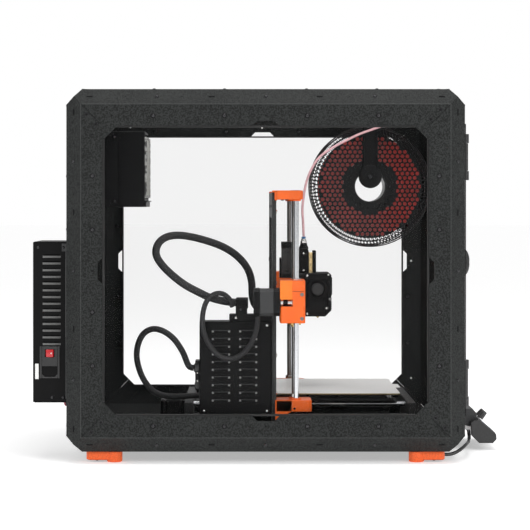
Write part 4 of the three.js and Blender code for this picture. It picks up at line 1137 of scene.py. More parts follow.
EXTRUDER_ROUTE: Points = (
    (-169, 36, 241), (-172, 62, 243.5), (-174, 86.8, 250), (-175, 103.7, 258), (-174, 124, 268.8),
    (-170, 144.3, 283.9), (-164, 160.6, 299.7), (-156, 169.8, 313.8), (-148, 170.5, 325.5), (-140, 164.9, 336.3),
    (-131, 154.2, 343.1), (-121, 139.1, 345.5), (-110, 118.9, 343.2), (-98, 95.1, 337.1), (-86, 69.3, 327.6),
    (-75, 48.6, 315.1), (-64, 32.8, 299.1), (-54, 24.1, 283.1), (-45, 20.5, 266.9), (-37, 20, 254.2),
    (-31, 18.8, 241), (-25, 14, 229), (-19, 4, 221), (-14, -11, 218), (-10.5, -26, 218.2), (-8.8, -36, 219.6),
    (-8.6, -44.6, 219.6),
)
MOTOR_ROUTE: Points = (
    (-209, 12, 222.6), (-209, 12.4, 212), (-208, 17, 192), (-204, 25, 176), (-200, 38, 162), (-198, 54, 156),
    (-197, 70, 160), (-196, 84, 174), (-196, 95, 196), (-196, 97, 222), (-195, 90, 246), (-192, 78, 256),
    (-188, 66, 256), (-184, 56, 248), (-180, 51, 236),
)
BED_ROUTE: Points = (
    (-158, 111.4, 139), (-158, 118, 140.5), (-157, 129, 164), (-154, 143, 184), (-150, 160, 196), (-146, 176, 199),
    (-142, 190, 192), (-138, 199, 176), (-134, 202, 156), (-130, 198, 134), (-126, 189, 114), (-122, 176, 99),
    (-114, 158, 91), (-102, 138, 88.6), (-88, 118, 88.3), (-72, 94, 88.3), (-58, 70, 88.4), (-47, 48, 88.6),
    (-42, 28.6, 88.6),
)
TUBE_ROUTE: Points = (
    (0, -65, 341.3), (-1, -64, 366), (2, -63, 386), (8, -66, 412), (16, -71, 434), (26, -80, 455), (38, -92, 472),
    (52, -112, 487), (68, -138, 501), (84, -163, 513), (102, -190, 523), (118, -212, 532), (128, -226, 540),
)
DISPLAY_ROUTE: Points = (
    (-68, -328, 30.5), (-74, -328, 26), (-86, -327, 22), (-104, -324, 20), (-126, -321, 20.5), (-150, -318, 22),
    (-170, -313, 21), (-184, -304, 16), (-191, -294, 11), (-194, -284, 8.5), (-196, -274, 9), (-197, -264, 11.5),
)


# ---------------------------------------------------------------- enclosure


@dataclass(frozen=True)
class EnclosureFrame:
    """The bent steel rails, with their rivets, screws and slots.

    Args:
        half: Half of the enclosure's width, depth and height.
        centre_height: Height of its middle.
        chamfer: Leg of the 45 degree face.
        rivet: Radius and height of a rivet.
        rows: Places of the large rivets along Y, and along Z from the middle.
        dots: Places of the small holes along Y, and along Z from the middle.
    """

    half: Point = (250.0, 304.5, 277.0)
    centre_height: float = 293.6
    chamfer: float = 24.0
    band: float = 41.5
    rivet: tuple[float, float] = (3.1, 2.2)
    rows: tuple[tuple[float, ...], tuple[float, ...]] = ((-171.0, -63.0, 63.0, 171.0), (-144.0, -62.5, 62.5, 144.0))
    dots: tuple[tuple[float, ...], tuple[float, ...]] = ((-233.5, 0.0, 233.5), (-207.0, 0.0, 207.0))

    def face_places(self, rows: Sequence[float], columns: Sequence[float], half_u: float, half_v: float) -> list[tuple[float, float]]:
        """Places round one face: rows along its top and bottom bands, columns along its two sides."""
        places = [(u, s * (half_v - self.band)) for u in rows for s in (-1, 1)]
        return places + [(s * (half_u - self.band), v) for v in columns for s in (-1, 1)]

    def dress_face(self, shape: Shape, axis: int, sign: int) -> None:
        """Adds the rivets, small holes and corner screws of one outer face.

        Args:
            shape: The shape that they go to. Slot 0 is rivets, 1 dark holes, 2 corner screws.
            axis: 0, 1 or 2, the axis that the face looks along.
            sign: The way it looks.
        """
        u, v = [i for i in range(3) if i != axis]
        rows = self.rows[0] if u == 1 or axis == 2 else (-126.0, 0.0, 126.0)
        if axis == 2:
            rows, columns, dots = (-126.0, 0.0, 126.0), self.rows[0], ((-190.0, 190.0), self.dots[0])
        else:
            columns, dots = self.rows[1], (self.dots[0] if axis == 0 else (-190.0, 190.0), self.dots[1])
        normal = np.zeros(3)
        normal[axis] = sign
        middle = np.array([0.0, 0.0, self.centre_height])

        def on_face(a: float, b: float) -> np.ndarray:
            place = middle.copy()
            place[axis] += sign * self.half[axis]
            place[u] += a
            place[v] += b
            return place

        for a, b in self.face_places(rows, columns, self.half[u], self.half[v]):
            shape.dome(on_face(a, b), normal, *self.rivet, slot=0)
            shape.ring(on_face(a, b), normal, self.rivet[0] + 1.0, self.rivet[0] - 0.4, 0.35, 16, slot=1)
        for a, b in self.face_places(dots[0], dots[1], self.half[u], self.half[v]):
            shape.lathe(on_face(a, b), normal, [(-0.3, 1.7), (0.12, 1.7), (0.2, 1.2)], 10, slot=1)
        for sa in (-1, 1):
            for sb in (-1, 1):
                edge_u, edge_v = self.half[u] - self.chamfer, self.half[v] - self.chamfer
                inner = 54.0
                start, end = on_face(sa * edge_u, sb * edge_v), on_face(sa * (self.half[u] - inner), sb * (self.half[v] - inner))
                shape.tube(np.array([start, (start + end) / 2, end]), 0.42, 6, slot=1)
                for inset in (32.5, 47.3):
                    shift_u, shift_v = (0.0, 7.0) if sa * sb > 0 else (7.5, 0.0)
                    place = on_face(sa * (self.half[u] - inset - shift_u), sb * (self.half[v] - inset - shift_v))
                    shape.ring(place, normal, 2.9, 1.9, 0.7, 16, slot=2)
                    shape.dome(place, normal, 1.9, 0.9, slot=1)

    def dress_chamfer(self, shape: Shape, along: int, signs: tuple[int, int]) -> None:
        """Adds slots, dots and rivets to one 45 degree band.

        Args:
            shape: The shape that they go to.
            along: The axis that the band runs along.
            signs: Which edge, as the signs of the other two axes.
        """
        u, v = [i for i in range(3) if i != along]
        middle = np.array([0.0, 0.0, self.centre_height])
        normal = np.zeros(3)
        normal[u], normal[v] = signs[0] * math.sqrt(0.5), signs[1] * math.sqrt(0.5)
        reach = self.half[along]
        base = middle.copy()
        base[u] += signs[0] * (self.half[u] - self.chamfer / 2)
        base[v] += signs[1] * (self.half[v] - self.chamfer / 2)
        run = np.zeros(3)
        run[along] = 1.0
        outer, inner, rivet = (0.87, 0.32, 0.6) if along == 2 else (0.88, 0.27, 0.545)
        for share in (-rivet, 0.0, rivet):
            shape.dome(base + run * reach * share, normal, 3.0, 2.0, slot=0)
        for share in (-outer, -inner, inner, outer):
            centre = base + run * reach * share
            shape.tube(np.array([centre - run * 4.5, centre, centre + run * 4.5]), 1.25, 8, slot=1)
        for share in (-0.7, -0.42, 0.42, 0.7):
            shape.lathe(base + run * reach * share, normal, [(-0.3, 1.5), (0.15, 1.5)], 10, slot=1)

    def build(self, looks: Palette) -> None:
        """Repaints the rails and adds their fasteners."""
        for node in frame["nodes"]:
            if node.endswith(("_rail", "_post")):
                repaint(node, looks.coat)
        rivets = Shape()
        for axis in range(3):
            for sign in (-1, 1):
                if (axis, sign) != (2, -1):
                    self.dress_face(rivets, axis, sign)
        for along in range(3):
            for signs in ((-1, -1), (-1, 1), (1, -1), (1, 1)):
                self.dress_chamfer(rivets, along, signs)
        # painted highlight lines along the bends, and the far frame's holes
        self.bend_highlights_and_holes(rivets)
        rivets.build("frame_fasteners", [looks.dark_screw, looks.inner, looks.dark_screw, looks.bend, looks.white], Body.ENCLOSURE, (), "coated_steel")
        self.liners(looks)

    def bend_highlights_and_holes(self, shape: Shape) -> None:
        """Painted highlights: thin lighter tubes along the outer faces' edges stand in for the light that the rounded
        bends catch. Also the far frame's open holes.
        """
        hx, hy, hz = self.half
        c, mid = self.chamfer, self.centre_height
        for sx in (-1, 1):
            x = sx * (hx + 0.05)
            for s in (-1, 1):
                for y, z in ((s * (hy - c), None), (None, s * (hz - c))):
                    ends = [(x, y, mid + t * (hz - c)) if z is None else (x, t * (hy - c), mid + z) for t in (-1, 0, 1)]
                    # painted highlight along one bend
                    shape.tube(np.array(ends), 0.45, 6, slot=3)
        for y, z in ((-261.7, 294.4), (-261.7, 87.8), (-231.0, 512.0), (1.0, 529.0), (233.0, 530.0)):
            shape.rod((hx - 14.0, y, z), (hx - 14.4, y, z), 1.7, 12, 0.05, 4)

    def liners(self, looks: Palette) -> None:
        """Dark sealing strips round the inside of each window opening, with their clips."""
        hx, hy, hz = self.half
        rim = 57.0
        shape = Shape()
        for side in (-1, 1):
            x0, x1 = side * (hx - 2.2), side * (hx - 13.0)
            for sz in (-1, 1):
                z = self.centre_height + sz * (hz - rim - 0.8)
                shape.box((x0, -hy + rim + 20, z - 1.2), (x1, hy - rim - 20, z + 1.2), 0.4, 0)
            for sy in (-1, 1):
                y = sy * (hy - rim - 0.8)
                shape.box((x0, y - 1.2, self.centre_height - hz + rim + 20), (x1, y + 1.2, self.centre_height + hz - rim - 20), 0.4, 0)
            for y in (-190.0, -64.0, 64.0, 190.0):
                for sz in (-1, 1):
                    z = self.centre_height + sz * (hz - rim + 9)
                    shape.screw((side * (hx - 5.6), y, z), (-side, 0, 0), 3.4, 2.2, 1)
            for z in (-145.0, -62.0, 62.0, 145.0):
                for sy in (-1, 1):
                    shape.screw((side * (hx - 5.6), sy * (hy - rim + 9), self.centre_height + z), (-side, 0, 0), 3.4, 2.2, 1)
        shape.build("window_seals", [looks.rubber, looks.dark_screw], Body.ENCLOSURE, (), "coated_steel")


@dataclass(frozen=True)
class Panels:
    """The clear windows, the floor sheet and the rear sheet."""

    vent: tuple[float, float] = (3.4, 11.0)

    def build(self, looks: Palette) -> None:
        """Repaints the clear panels and adds vents and screws to the opaque ones."""
        for node in ("left_window", "right_window", "top_window"):
            repaint(node, looks.clear)
        repaint("floor_panel", looks.inner)
        repaint("rear_panel", looks.inner)
        low, high = span("rear_panel")
        shape = Shape()
        radius, pitch = self.vent
        duct_low, duct_high = span("filter_housing")
        centre = ((duct_low + duct_high) / 2)[[0, 2]]
        y = high[1]
        for row in range(-3, 4):
            for column in range(-3, 4):
                place = (centre[0] + (column + 0.5 * (row % 2)) * pitch, y, centre[1] + row * pitch * 0.866)
                if math.hypot(place[0] - centre[0], place[2] - centre[1]) < 36:
                    shape.lathe(place, (0, 1, 0), [(-0.2, radius), (0.25, radius), (0.1, radius * 0.7)], 12, 1)
        shape.ring((centre[0], y, centre[1]), (0, 1, 0), 43.0, 39.5, 1.6, 48, 0)
        for sx in (-1, 1):
            for sz in (-1, 1):
                shape.screw((centre[0] + sx * 36, y, centre[1] + sz * 36), (0, 1, 0), 3.2, 2.0, 2)
        for z in np.linspace(low[2] + 20, high[2] - 20, 5):
            for sx in (-1, 1):
                shape.screw((sx * (high[0] - 24), y, float(z)), (0, 1, 0), 2.8, 1.6, 2)
        floor_low, floor_high = span("floor_panel")
        for x in (-150.0, -50.0, 50.0, 150.0):
            for y2 in (floor_low[1] + 24, floor_high[1] - 24):
                shape.screw((x, float(y2), floor_high[2]), (0, 0, 1), 2.8, 1.4, 2)
        shape.build("panel_details", [looks.inner, looks.box, looks.dark_screw], Body.ENCLOSURE, (), "coated_steel")


@dataclass(frozen=True)
class Foot:
    """A corner foot: a turned pad with a bevelled arm.

    Args:
        pad: Radius of the pad.
        arm: Half width of the arm.
        lift: Height of the arm's underside.
    """

    pad: float = 12.0
    arm: float = 8.5
    lift: float = 3.6

    def build(self, node: str, looks: Palette) -> None:
        """Makes one foot where its CAD node lies."""
        low, high = span(node)
        x = (low[0] + high[0]) / 2
        outward_y = 1 if high[1] > 0 else -1
        y = (low[1] if outward_y > 0 else high[1]) + outward_y * self.pad
        tip = high[1] if outward_y > 0 else low[1]
        top = high[2]
        shape = Shape()
        r = self.pad
        shape.lathe((x, y, 0), (0, 0, 1), [(1.1, r - 3.4), (0.0, r - 2.6), (0.0, r - 1.2), (1.0, r - 0.1), (top - 0.8, r), (top, r - 0.7)], 40, 0)
        shape.lathe((x, y, 0.1), (0, 0, 1), [(0.4, r - 4.0), (1.6, r - 4.2)], 32, 1)
        w, nose = self.arm, self.arm * 0.45
        shoulder = tip - outward_y * nose
        inner_y = y + outward_y * 3
        outline = [(x - w, inner_y), (x - w, shoulder), (x - nose, tip), (x + nose, tip), (x + w, shoulder), (x + w, inner_y)]
        shape.prism(Axis.Z, outline, self.lift, top, 0, 0.7)
        shape.prism(Axis.Z, [(a * 0.82 + x * 0.18, b - outward_y * 1.5) for a, b in outline], self.lift - 0.7, self.lift + 0.4, 1, 0.3)
        shape.screw((x, y + outward_y * 27, self.lift - 0.5), (0, 0, -1), 3.4, 1.6, 2)
        shape.build(node.replace("_foot", "_foot_shaped"), [looks.foot, looks.rubber, looks.dark_screw], Body.ENCLOSURE, (node,), "orange_plastic")


@dataclass(frozen=True)
class Door:
    """The clear door with its edge trim, handle and hinges."""

    trim: float = 6.0

    def panel(self, looks: Palette) -> None:
        """Repaints the door and adds a soft seal on its inner face and a clear strip on one edge."""
        repaint("door_panel", looks.clear)
        low, high = span("door_panel")
        seal = Shape()
        for sx in (-1, 1):
            x = high[0] - 4 if sx > 0 else low[0] + 4
            seal.box((x - self.trim / 2, low[1] - 0.5, low[2] + 2), (x + self.trim / 2, low[1] + 0.4, high[2] - 2), 0.3)
        for z in (low[2] + 4, high[2] - 4):
            seal.box((low[0] + 2, low[1] - 0.5, z - self.trim / 2), (high[0] - 2, low[1] + 0.4, z + self.trim / 2), 0.3)
        seal.build("door_trim", [looks.rubber], Body.DOOR, (), "black_plastic")
        edge = Shape()
        edge.box((high[0] - 0.15, low[1] + 0.1, low[2] + 0.5), (high[0] + 0.1, high[1] - 0.1, high[2] - 0.5), 0.1)
        edge.build("door_edge", [looks.clear_edge], Body.DOOR, (), "clear_window")

    def handle(self, looks: Palette) -> None:
        """A bow handle swept round its centreline, with two mounting bosses."""
        low, high = span("door_handle")
        x = (low[0] + high[0]) / 2
        z0, z1 = low[2] + 5.5, high[2] - 5.5
        tip, back = low[1] + 5.2, high[1]
        route = [(x, back, z0), (x, back - 14, z0), (x, tip + 16, z0 + 0.5), (x, tip + 4, z0 + 5), (x, tip, z0 + 16), (x, tip, (z0 + z1) / 2),
                 (x, tip, z1 - 16), (x, tip + 4, z1 - 5), (x, tip + 16, z1 - 0.5), (x, back - 14, z1), (x, back, z1)]
        shape = Shape().tube(catmull(route, 90), 5.0, 20)
        for z in (z0, z1):
            shape.lathe((x, back, z), (0, -1, 0), [(0, 6.4), (2.2, 6.4), (3.2, 5.6), (4.0, 4.9)], 28)
            shape.screw((x, back + 4.6, z), (0, 1, 0), 3.4, 1.6, 1)
        shape.build("door_bow", [looks.satin, looks.dark_screw], Body.DOOR, ("door_handle",), "black_plastic")

    def hinge(self, name: str, looks: Palette) -> None:
        """Frame leaf with two knuckles and the pin, and door leaf with one knuckle.

        Args:
            name: upper or lower.
            looks: The palette.
        """
        low, high = span(f"{name}_frame_hinge")
        knuckle = 3.6
        barrel = 4.7
        pin_x, pin_y = high[0] - knuckle, low[1] + knuckle
        band = (high[2] - low[2]) / 5
        fixed = Shape()
        fixed.box((low[0], high[1] - 3.0, low[2]), (pin_x - 1, high[1], high[2]), 0.8)
        for z0 in (low[2], high[2] - band):
            fixed.box((pin_x - 3.4, high[1] - 3.0, z0), (pin_x + 0.4, high[1] - 0.3, z0 + band), 0.4)
            fixed.rod((pin_x, pin_y, z0), (pin_x, pin_y, z0 + band), barrel, 28, 0.5)
        fixed.rod((pin_x, pin_y, low[2] + 0.4), (pin_x, pin_y, high[2] - 0.4), 1.55, 16, 0.3, 1)
        for z in np.linspace(low[2] + 11, high[2] - 11, 3):
            fixed.screw(((low[0] + pin_x - 1) / 2 - 1.5, high[1] - 3.0, float(z)), (0, -1, 0), 3.3, 1.7, 1)
        fixed.build(f"{name}_frame_leaf", [looks.satin, looks.dark_screw], Body.ENCLOSURE, (f"{name}_frame_hinge",), "black_plastic")
        low, high = span(f"{name}_door_hinge")
        moving = Shape()
        moving.rod((pin_x, pin_y, low[2]), (pin_x, pin_y, high[2]), knuckle - 0.1, 28, 0.5)
        moving.box((pin_x + 1.0, low[1] + 0.1, low[2]), (high[0], low[1] + 3.1, high[2]), 0.7)
        for z in (low[2] + 9, high[2] - 9):
            moving.screw((high[0] - 7.5, low[1] + 0.1, float(z)), (0, -1, 0), 3.3, 1.6, 1)
        moving.build(f"{name}_door_leaf", [looks.satin, looks.dark_screw], Body.DOOR, (f"{name}_door_hinge",), "black_plastic")

    def build(self, looks: Palette) -> None:
        """Makes the whole door."""
        self.panel(looks)
        self.handle(looks)
        self.hinge("upper", looks)
        self.hinge("lower", looks)


@dataclass(frozen=True)
class PowerSupply:
    """The metal-cased supply on the rear, its louvres, inlet, switch and leads.

    Args:
        louvres: How many on the side.
        louvre_y: Their ends along Y, from the supply's front.
        louvre_top: The middle of the top one, in height.
        pitch: From one to the next.
        height: Height of each.
    """

    louvres: int = 14
    louvre_y: tuple[float, float] = (9.5, 39.5)
    louvre_top: float = 315.0
    pitch: float = 10.35
    height: float = 4.6

    def case(self, looks: Palette) -> None:
        """The folded case with pressed louvres on both sides and a grille on the rear. The side louvres' lower lips are
        painted lighter as a highlight.
        """
        low, high = span("power_supply")
        front, rear = high[1] - 53.5, high[1]
        left = low[0] + 1.6
        right = high[0]
        z0, z1 = 89.0, 337.0
        shape = Shape()
        cuts = [(front + self.louvre_y[0], front + self.louvre_y[1], self.louvre_top - k * self.pitch - self.height / 2, self.louvre_top - k * self.pitch + self.height / 2) for k in range(self.louvres)]
        e = 2.0
        for plane, facing in ((left, -1), (right, 1)):
            shape.pocketed(Axis.X, plane, facing, (front, z0 + e), (rear - e, z1 - e), cuts, 2.6, 3.4, 0, 1, 1.9)
        shape.prism(Axis.X, [(front, z0 + e), (rear - e, z0 + e), (rear - e, z1 - e), (front, z1 - e)], left + 3.0, right - 3.0, 1)
        rows = [(-0.5 * (right - left) + 14 + (right + left) / 2, (right + left) / 2 + 0.5 * (right - left) - 14, z, z + 3.2) for z in np.arange(150.0, 290.0, 8.0)]
        shape.pocketed(Axis.Y, rear, 1, (left + e, z0 + e), (right - e, z1 - e), [tuple(map(float, r)) for r in rows], 2.2, 2.5, 0, 1, 1.2)
        rim = [(left, z0 + e), (left + e, z0), (right - e, z0), (right, z0 + e), (right, z1 - e), (right - e, z1), (left + e, z1), (left, z1 - e)]
        del rim
        shape.box((left, front, z1 - e - 0.05), (right, rear - e, z1), 1.2, 0)
        shape.box((left, front, z0), (right, rear - e, z0 + e + 0.05), 1.2, 0)
        for x in (left, right):
            inner = x + (e if x == left else -e)
            shape.box((min(x, inner), rear - e - 0.6, z0 + 1), (max(x, inner), rear - 0.05, z1 - 1), 0.9, 0)
        shape.box((left + e * 0.5, rear - e - 0.4, z1 - e - 0.3), (right - e * 0.5, rear - 0.02, z1 - 0.3), 0.9, 0)
        shape.box((left + e * 0.5, rear - e - 0.4, z0 + 0.3), (right - e * 0.5, rear - 0.02, z0 + e + 0.3), 0.9, 0)
        for y, z in ((front + 7, z1 - 9), (rear - 8, z1 - 9), (front + 7, z0 + 8), (front + 24, z0 + 8)):
            shape.screw((left, y, z), (-1, 0, 0), 2.6, 1.3, 2)
            shape.screw((right, y, z), (1, 0, 0), 2.6, 1.3, 2)
        shape.box((left - 0.25, rear - 8.8, 125.3), (left + 0.1, rear - 3.4, 148.9), 0.1, 3)
        shape.box((left - 0.5, front + 0.1, z0 + 6), (left + 4, front + 3.4, z1 - 6), 0.4, 4)
        shape.box((left + 6, front - 0.1, z1 - 6), (left + 40, front + 8, z1 - 0.2), 0.8, 4)
        shape.box((left - 0.3, front + 0.3, 322.0), (left + 0.3, front + 9.0, 334.0), 0.2, 4)
        # each louvre's lower lip is a real wedge, coloured lighter as a painted highlight for the light on its top
        for u0, u1, v0, v1 in cuts:
            foot = (v0 + v1) / 2 - 3.0
            for x, out in ((left, -1), (right, 1)):
                ends = ((u0 + 1.0, 0.0), (u0 + 2.8, 1.3), (u1 - 2.8, 1.3), (u1 - 1.0, 0.0))
                rows = [[(x - out * 0.2, y, foot), (x + out * (0.1 + p), y, foot + 0.3), (x + out * (0.05 + 0.3 * p), y, foot + 3.2), (x - out * 0.2, y, foot + 3.3)] for y, p in ends]
                verts = np.array(rows).reshape(-1, 3)
                quads = [(4 * k + i, 4 * k + 4 + i, 4 * k + 4 + (i + 1) % 4, 4 * k + (i + 1) % 4) for k in range(3) for i in range(4)]
                shape.add(verts, outward(verts, quads + [(0, 1, 2, 3), (12, 13, 14, 15)]), 5)
        # painted highlight: a thin lighter strip at the case's front edge stands in for the light line along the rear
        # panel's edge
        shape.box((left - 0.3, front + 1.6, 190.0), (left + 0.3, front + 3.4, 310.0), 0.1, 5)
        shape.build("supply_case", [looks.box, looks.inner, looks.dark_screw, looks.white, looks.bracket, looks.lip], Body.ENCLOSURE, ("power_supply",), "coated_steel")

    def inlet(self, looks: Palette) -> None:
        """The snap-in inlet: a bezel, a keyed socket with three pins and the switch's frame."""
        low, high = span("power_supply")
        face = low[0]
        rear = high[1] - 10.5
        y = rear - 15.5
        bottom, top = 126.5, 175.5
        shape = Shape()
        z_low, z_high = bottom + 2.0, bottom + 18.5
        rocker_low, rocker_high = span("power_rocker")
        w, s = 15.5, 12.0
        for y0, y1, a, b in ((y - w, y - s, bottom, top), (y + s, y + w, bottom, top), (y - s, y + s, bottom, z_low), (y - s, y + s, z_high, rocker_low[2] - 0.3), (y - s, y + s, rocker_high[2] + 0.3, top)):
            shape.box((face, y0, a), (face + 3.4, y1, b), 0.45, 0)
        for y0, y1 in ((y - s, rocker_low[1] - 0.35), (rocker_high[1] + 0.35, y + s)):
            shape.box((face, y0, rocker_low[2] - 0.5), (face + 3.4, y1, rocker_high[2] + 0.5), 0.3, 0)
        shape.box((face + 13.4, y - s, z_low), (face + 14.4, y + s, z_high), 0.2, 1)
        for a, b in ((z_low - 0.4, z_low + 0.5), (z_high - 0.5, z_high + 0.4)):
            shape.box((face + 1.0, y - s, a), (face + 14, y + s, b), 0.1, 1)
        for y0, y1 in ((y - s - 0.4, y - s + 0.5), (y + s - 0.5, y + s + 0.4)):
            shape.box((face + 1.0, y0, z_low), (face + 14, y1, z_high), 0.1, 1)
        for sy in (-1, 1):
            corner = [(y + sy * s, z_low), (y + sy * (s - 4.5), z_low), (y + sy * s, z_low + 4.5)]
            shape.prism(Axis.X, corner, face + 0.6, face + 13, 0)
        for dy, dz in ((-7.0, -1.0), (0.0, 3.4), (7.0, -1.0)):
            zc = (z_low + z_high) / 2 + dz
            shape.box((face + 3.2, y + dy - 1.0, zc - 2.6), (face + 13.6, y + dy + 1.0, zc + 2.6), 0.5, 2)
        shape.build("mains_inlet", [looks.satin, looks.black, looks.bright], Body.ENCLOSURE, (), "black_plastic")
        self.rocker(looks)

    @staticmethod
    def rocker(looks: Palette) -> None:
        """The rocker: a barrel with a dished face and one raised dot."""
        low, high = span("power_rocker")
        y, z = (low[1] + high[1]) / 2, (low[2] + high[2]) / 2
        angle = np.linspace(0, 2 * math.pi, 48, endpoint=False)
        radius = 7.0
        centre = low[0] + radius if high[0] - low[0] > 2 * radius - 0.01 else high[0] - radius
        ring_x = centre + radius * np.cos(angle)
        ring_y = y + radius * np.sin(angle)
        dish = centre - radius + 2.2 + 0.14 * (ring_y - y) + 0.024 * (ring_y - y) ** 2
        ring_x = np.maximum(ring_x, dish)
        count = len(angle)
        levels = ((low[2], 0.97), (low[2] + 0.5, 1.0), (high[2] - 0.5, 1.0), (high[2], 0.97))
        rows = [np.column_stack([centre + (ring_x - centre) * k, y + (ring_y - y) * k, np.full(count, h)]) for h, k in levels]
        verts = np.vstack(rows)
        i = np.arange(count)
        j = (i + 1) % count
        faces: list[tuple[int, ...]] = []
        for k in range(3):
            faces.extend(map(tuple, np.column_stack([i + k * count, j + k * count, j + (k + 1) * count, i + (k + 1) * count])))
        faces += [tuple(range(count))[::-1], tuple(range(3 * count, 4 * count))]
        shape = Shape().add(verts, faces, 0)
        shape.dome((centre - radius + 1.9, y - 2.4, z), (-1, 0, 0), 1.1, 0.35, 1)
        shape.build("supply_rocker", [looks.red, looks.white], Body.ROCKER, ("power_rocker",), "rocker_red")

    @staticmethod
    def leads(looks: Palette) -> None:
        """Thin wires that leave the bottom of the supply and turn into the enclosure's wall."""
        low, high = span("power_supply")
        front = high[1] - 53.5
        for number, (name, look) in enumerate((("pink", looks.wire_pink), ("grey", looks.wire_grey), ("black", looks.cable))):
            shape = Shape()
            for k in range(2):
                x = low[0] + 26 + number * 9 + k * 3.6
                route = [(x, front + 6 + k, 90.5), (x, front + 6.5 + k, 86), (x + 1, front + 5.5, 82.6), (x + 2, front + 2.6, 81.8), (x + 2, front + 1.3, 82.2)]
                shape.tube(catmull(route, 24), 1.25, 10)
            shape.build(f"supply_wire_{name}", [look], Body.ENCLOSURE, (), "cable_black")

    def build(self, looks: Palette) -> None:
        """Makes the whole supply."""
        self.case(looks)
        self.inlet(looks)
        self.leads(looks)


@dataclass(frozen=True)
class AirFilter:
    """The filter box that hangs on the rear sheet, with a pleated cartridge."""

    pleats: int = 26

    def build(self, looks: Palette) -> None:
        """Makes the housing and its cartridge."""
        low, high = span("filter_housing")
        paper_low, paper_high = span("filter_cartridge")
        split = low[1] + 41.0
        wall = 3.0
        shape = Shape()
        x0, x1 = low[0], high[0]
        shape.box((x0, low[1], low[2]), (x0 + wall, split, high[2]), 0.9, 0)
        shape.box((x1 - wall, low[1], low[2]), (x1, split, high[2]), 0.9, 0)
        shape.box((x0 + 0.1, low[1] + 0.05, high[2] - wall), (x1 - 0.1, split, high[2] - 0.02), 0.7, 0)
        shape.box((x0 + 0.1, low[1] + 0.05, low[2] + 0.02), (x1 - 0.1, split, low[2] + 13.6), 0.9, 0)
        shape.box((x0 - 0.2, split - 0.6, low[2] - 0.2), (x1 + 0.2, split + 1.8, high[2] + 0.2), 0.6, 1)
        shape.box((x0 + 0.4, split + 1.4, low[2] + 0.5), (x1 - 0.4, high[1] - 6, high[2] - 0.5), 1.2, 1)
        shape.box((x0 - 0.1, high[1] - 7, low[2] - 0.1), (x1 + 0.1, high[1], high[2] + 0.1), 0.8, 0)
        shape.box((x0 - 0.1, high[1] - 38.3, 425.5), (x0 + 0.9, high[1] - 25.5, 449.6), 0.1, 2)
        shape.box((x0 + 1, low[1] - 2.4, low[2]), (x1 - 1, low[1] + 1, low[2] + 8.5), 0.5, 0)
        shape.box((x0 + 1, low[1] - 4.8, low[2] + 8.4), (x1 - 1, low[1] + 1, low[2] + 10.2), 0.4, 0)
        for y, z in ((split + 8, high[2] - 9), (split + 8, low[2] + 9), (high[1] - 14, high[2] - 9), (high[1] - 14, low[2] + 9)):
            shape.screw((x0 + 0.4, y, z), (-1, 0, 0), 2.6, 1.3, 3)
            shape.screw((x1 - 0.4, y, z), (1, 0, 0), 2.6, 1.3, 3)
        shape.build("filter_box", [looks.black, looks.inner, looks.white, looks.dark_screw], Body.ENCLOSURE, ("filter_housing",), "black_plastic")
        cell = Shape()
        n = self.pleats
        frame_wall = 4.0
        lip = paper_low[1] + 2.6
        front, back = paper_low[1] + 3.4, paper_low[1] + 13.0
        x = np.linspace(paper_low[0] + frame_wall, paper_high[0] - frame_wall, 2 * n + 1)
        y = np.where(np.arange(2 * n + 1) % 2 == 0, back, front)
        z0, z1 = paper_low[2] + frame_wall, paper_high[2] - frame_wall
        verts = np.vstack([np.column_stack([x, y, np.full_like(x, z0)]), np.column_stack([x, y, np.full_like(x, z1)])])
        k = np.arange(2 * n)
        m = 2 * n + 1
        cell.add(verts, list(map(tuple, np.column_stack([k, k + 1, k + 1 + m, k + m]))), 0)
        for a, b in (((paper_low[0], paper_low[2]), (paper_low[0] + frame_wall, paper_high[2])), ((paper_high[0] - frame_wall, paper_low[2]), (paper_high[0], paper_high[2]))):
            cell.box((a[0], lip, a[1]), (b[0], paper_high[1], b[1]), 0.6, 1)
        for a, b in ((paper_low[2], paper_low[2] + frame_wall), (paper_high[2] - frame_wall, paper_high[2])):
            cell.box((paper_low[0] + 0.2, lip + 0.1, a), (paper_high[0] - 0.2, paper_high[1] - 0.1, b), 0.6, 1)
        cell.box((paper_low[0] + 1, back + 0.5, paper_low[2] + 1), (paper_high[0] - 1, paper_high[1] - 0.5, paper_high[2] - 1), 0.5, 0)
        cell.build("filter_cell", [looks.paper, looks.grey_wrap], Body.ENCLOSURE, ("filter_cartridge",), "filter_white", 20.0)


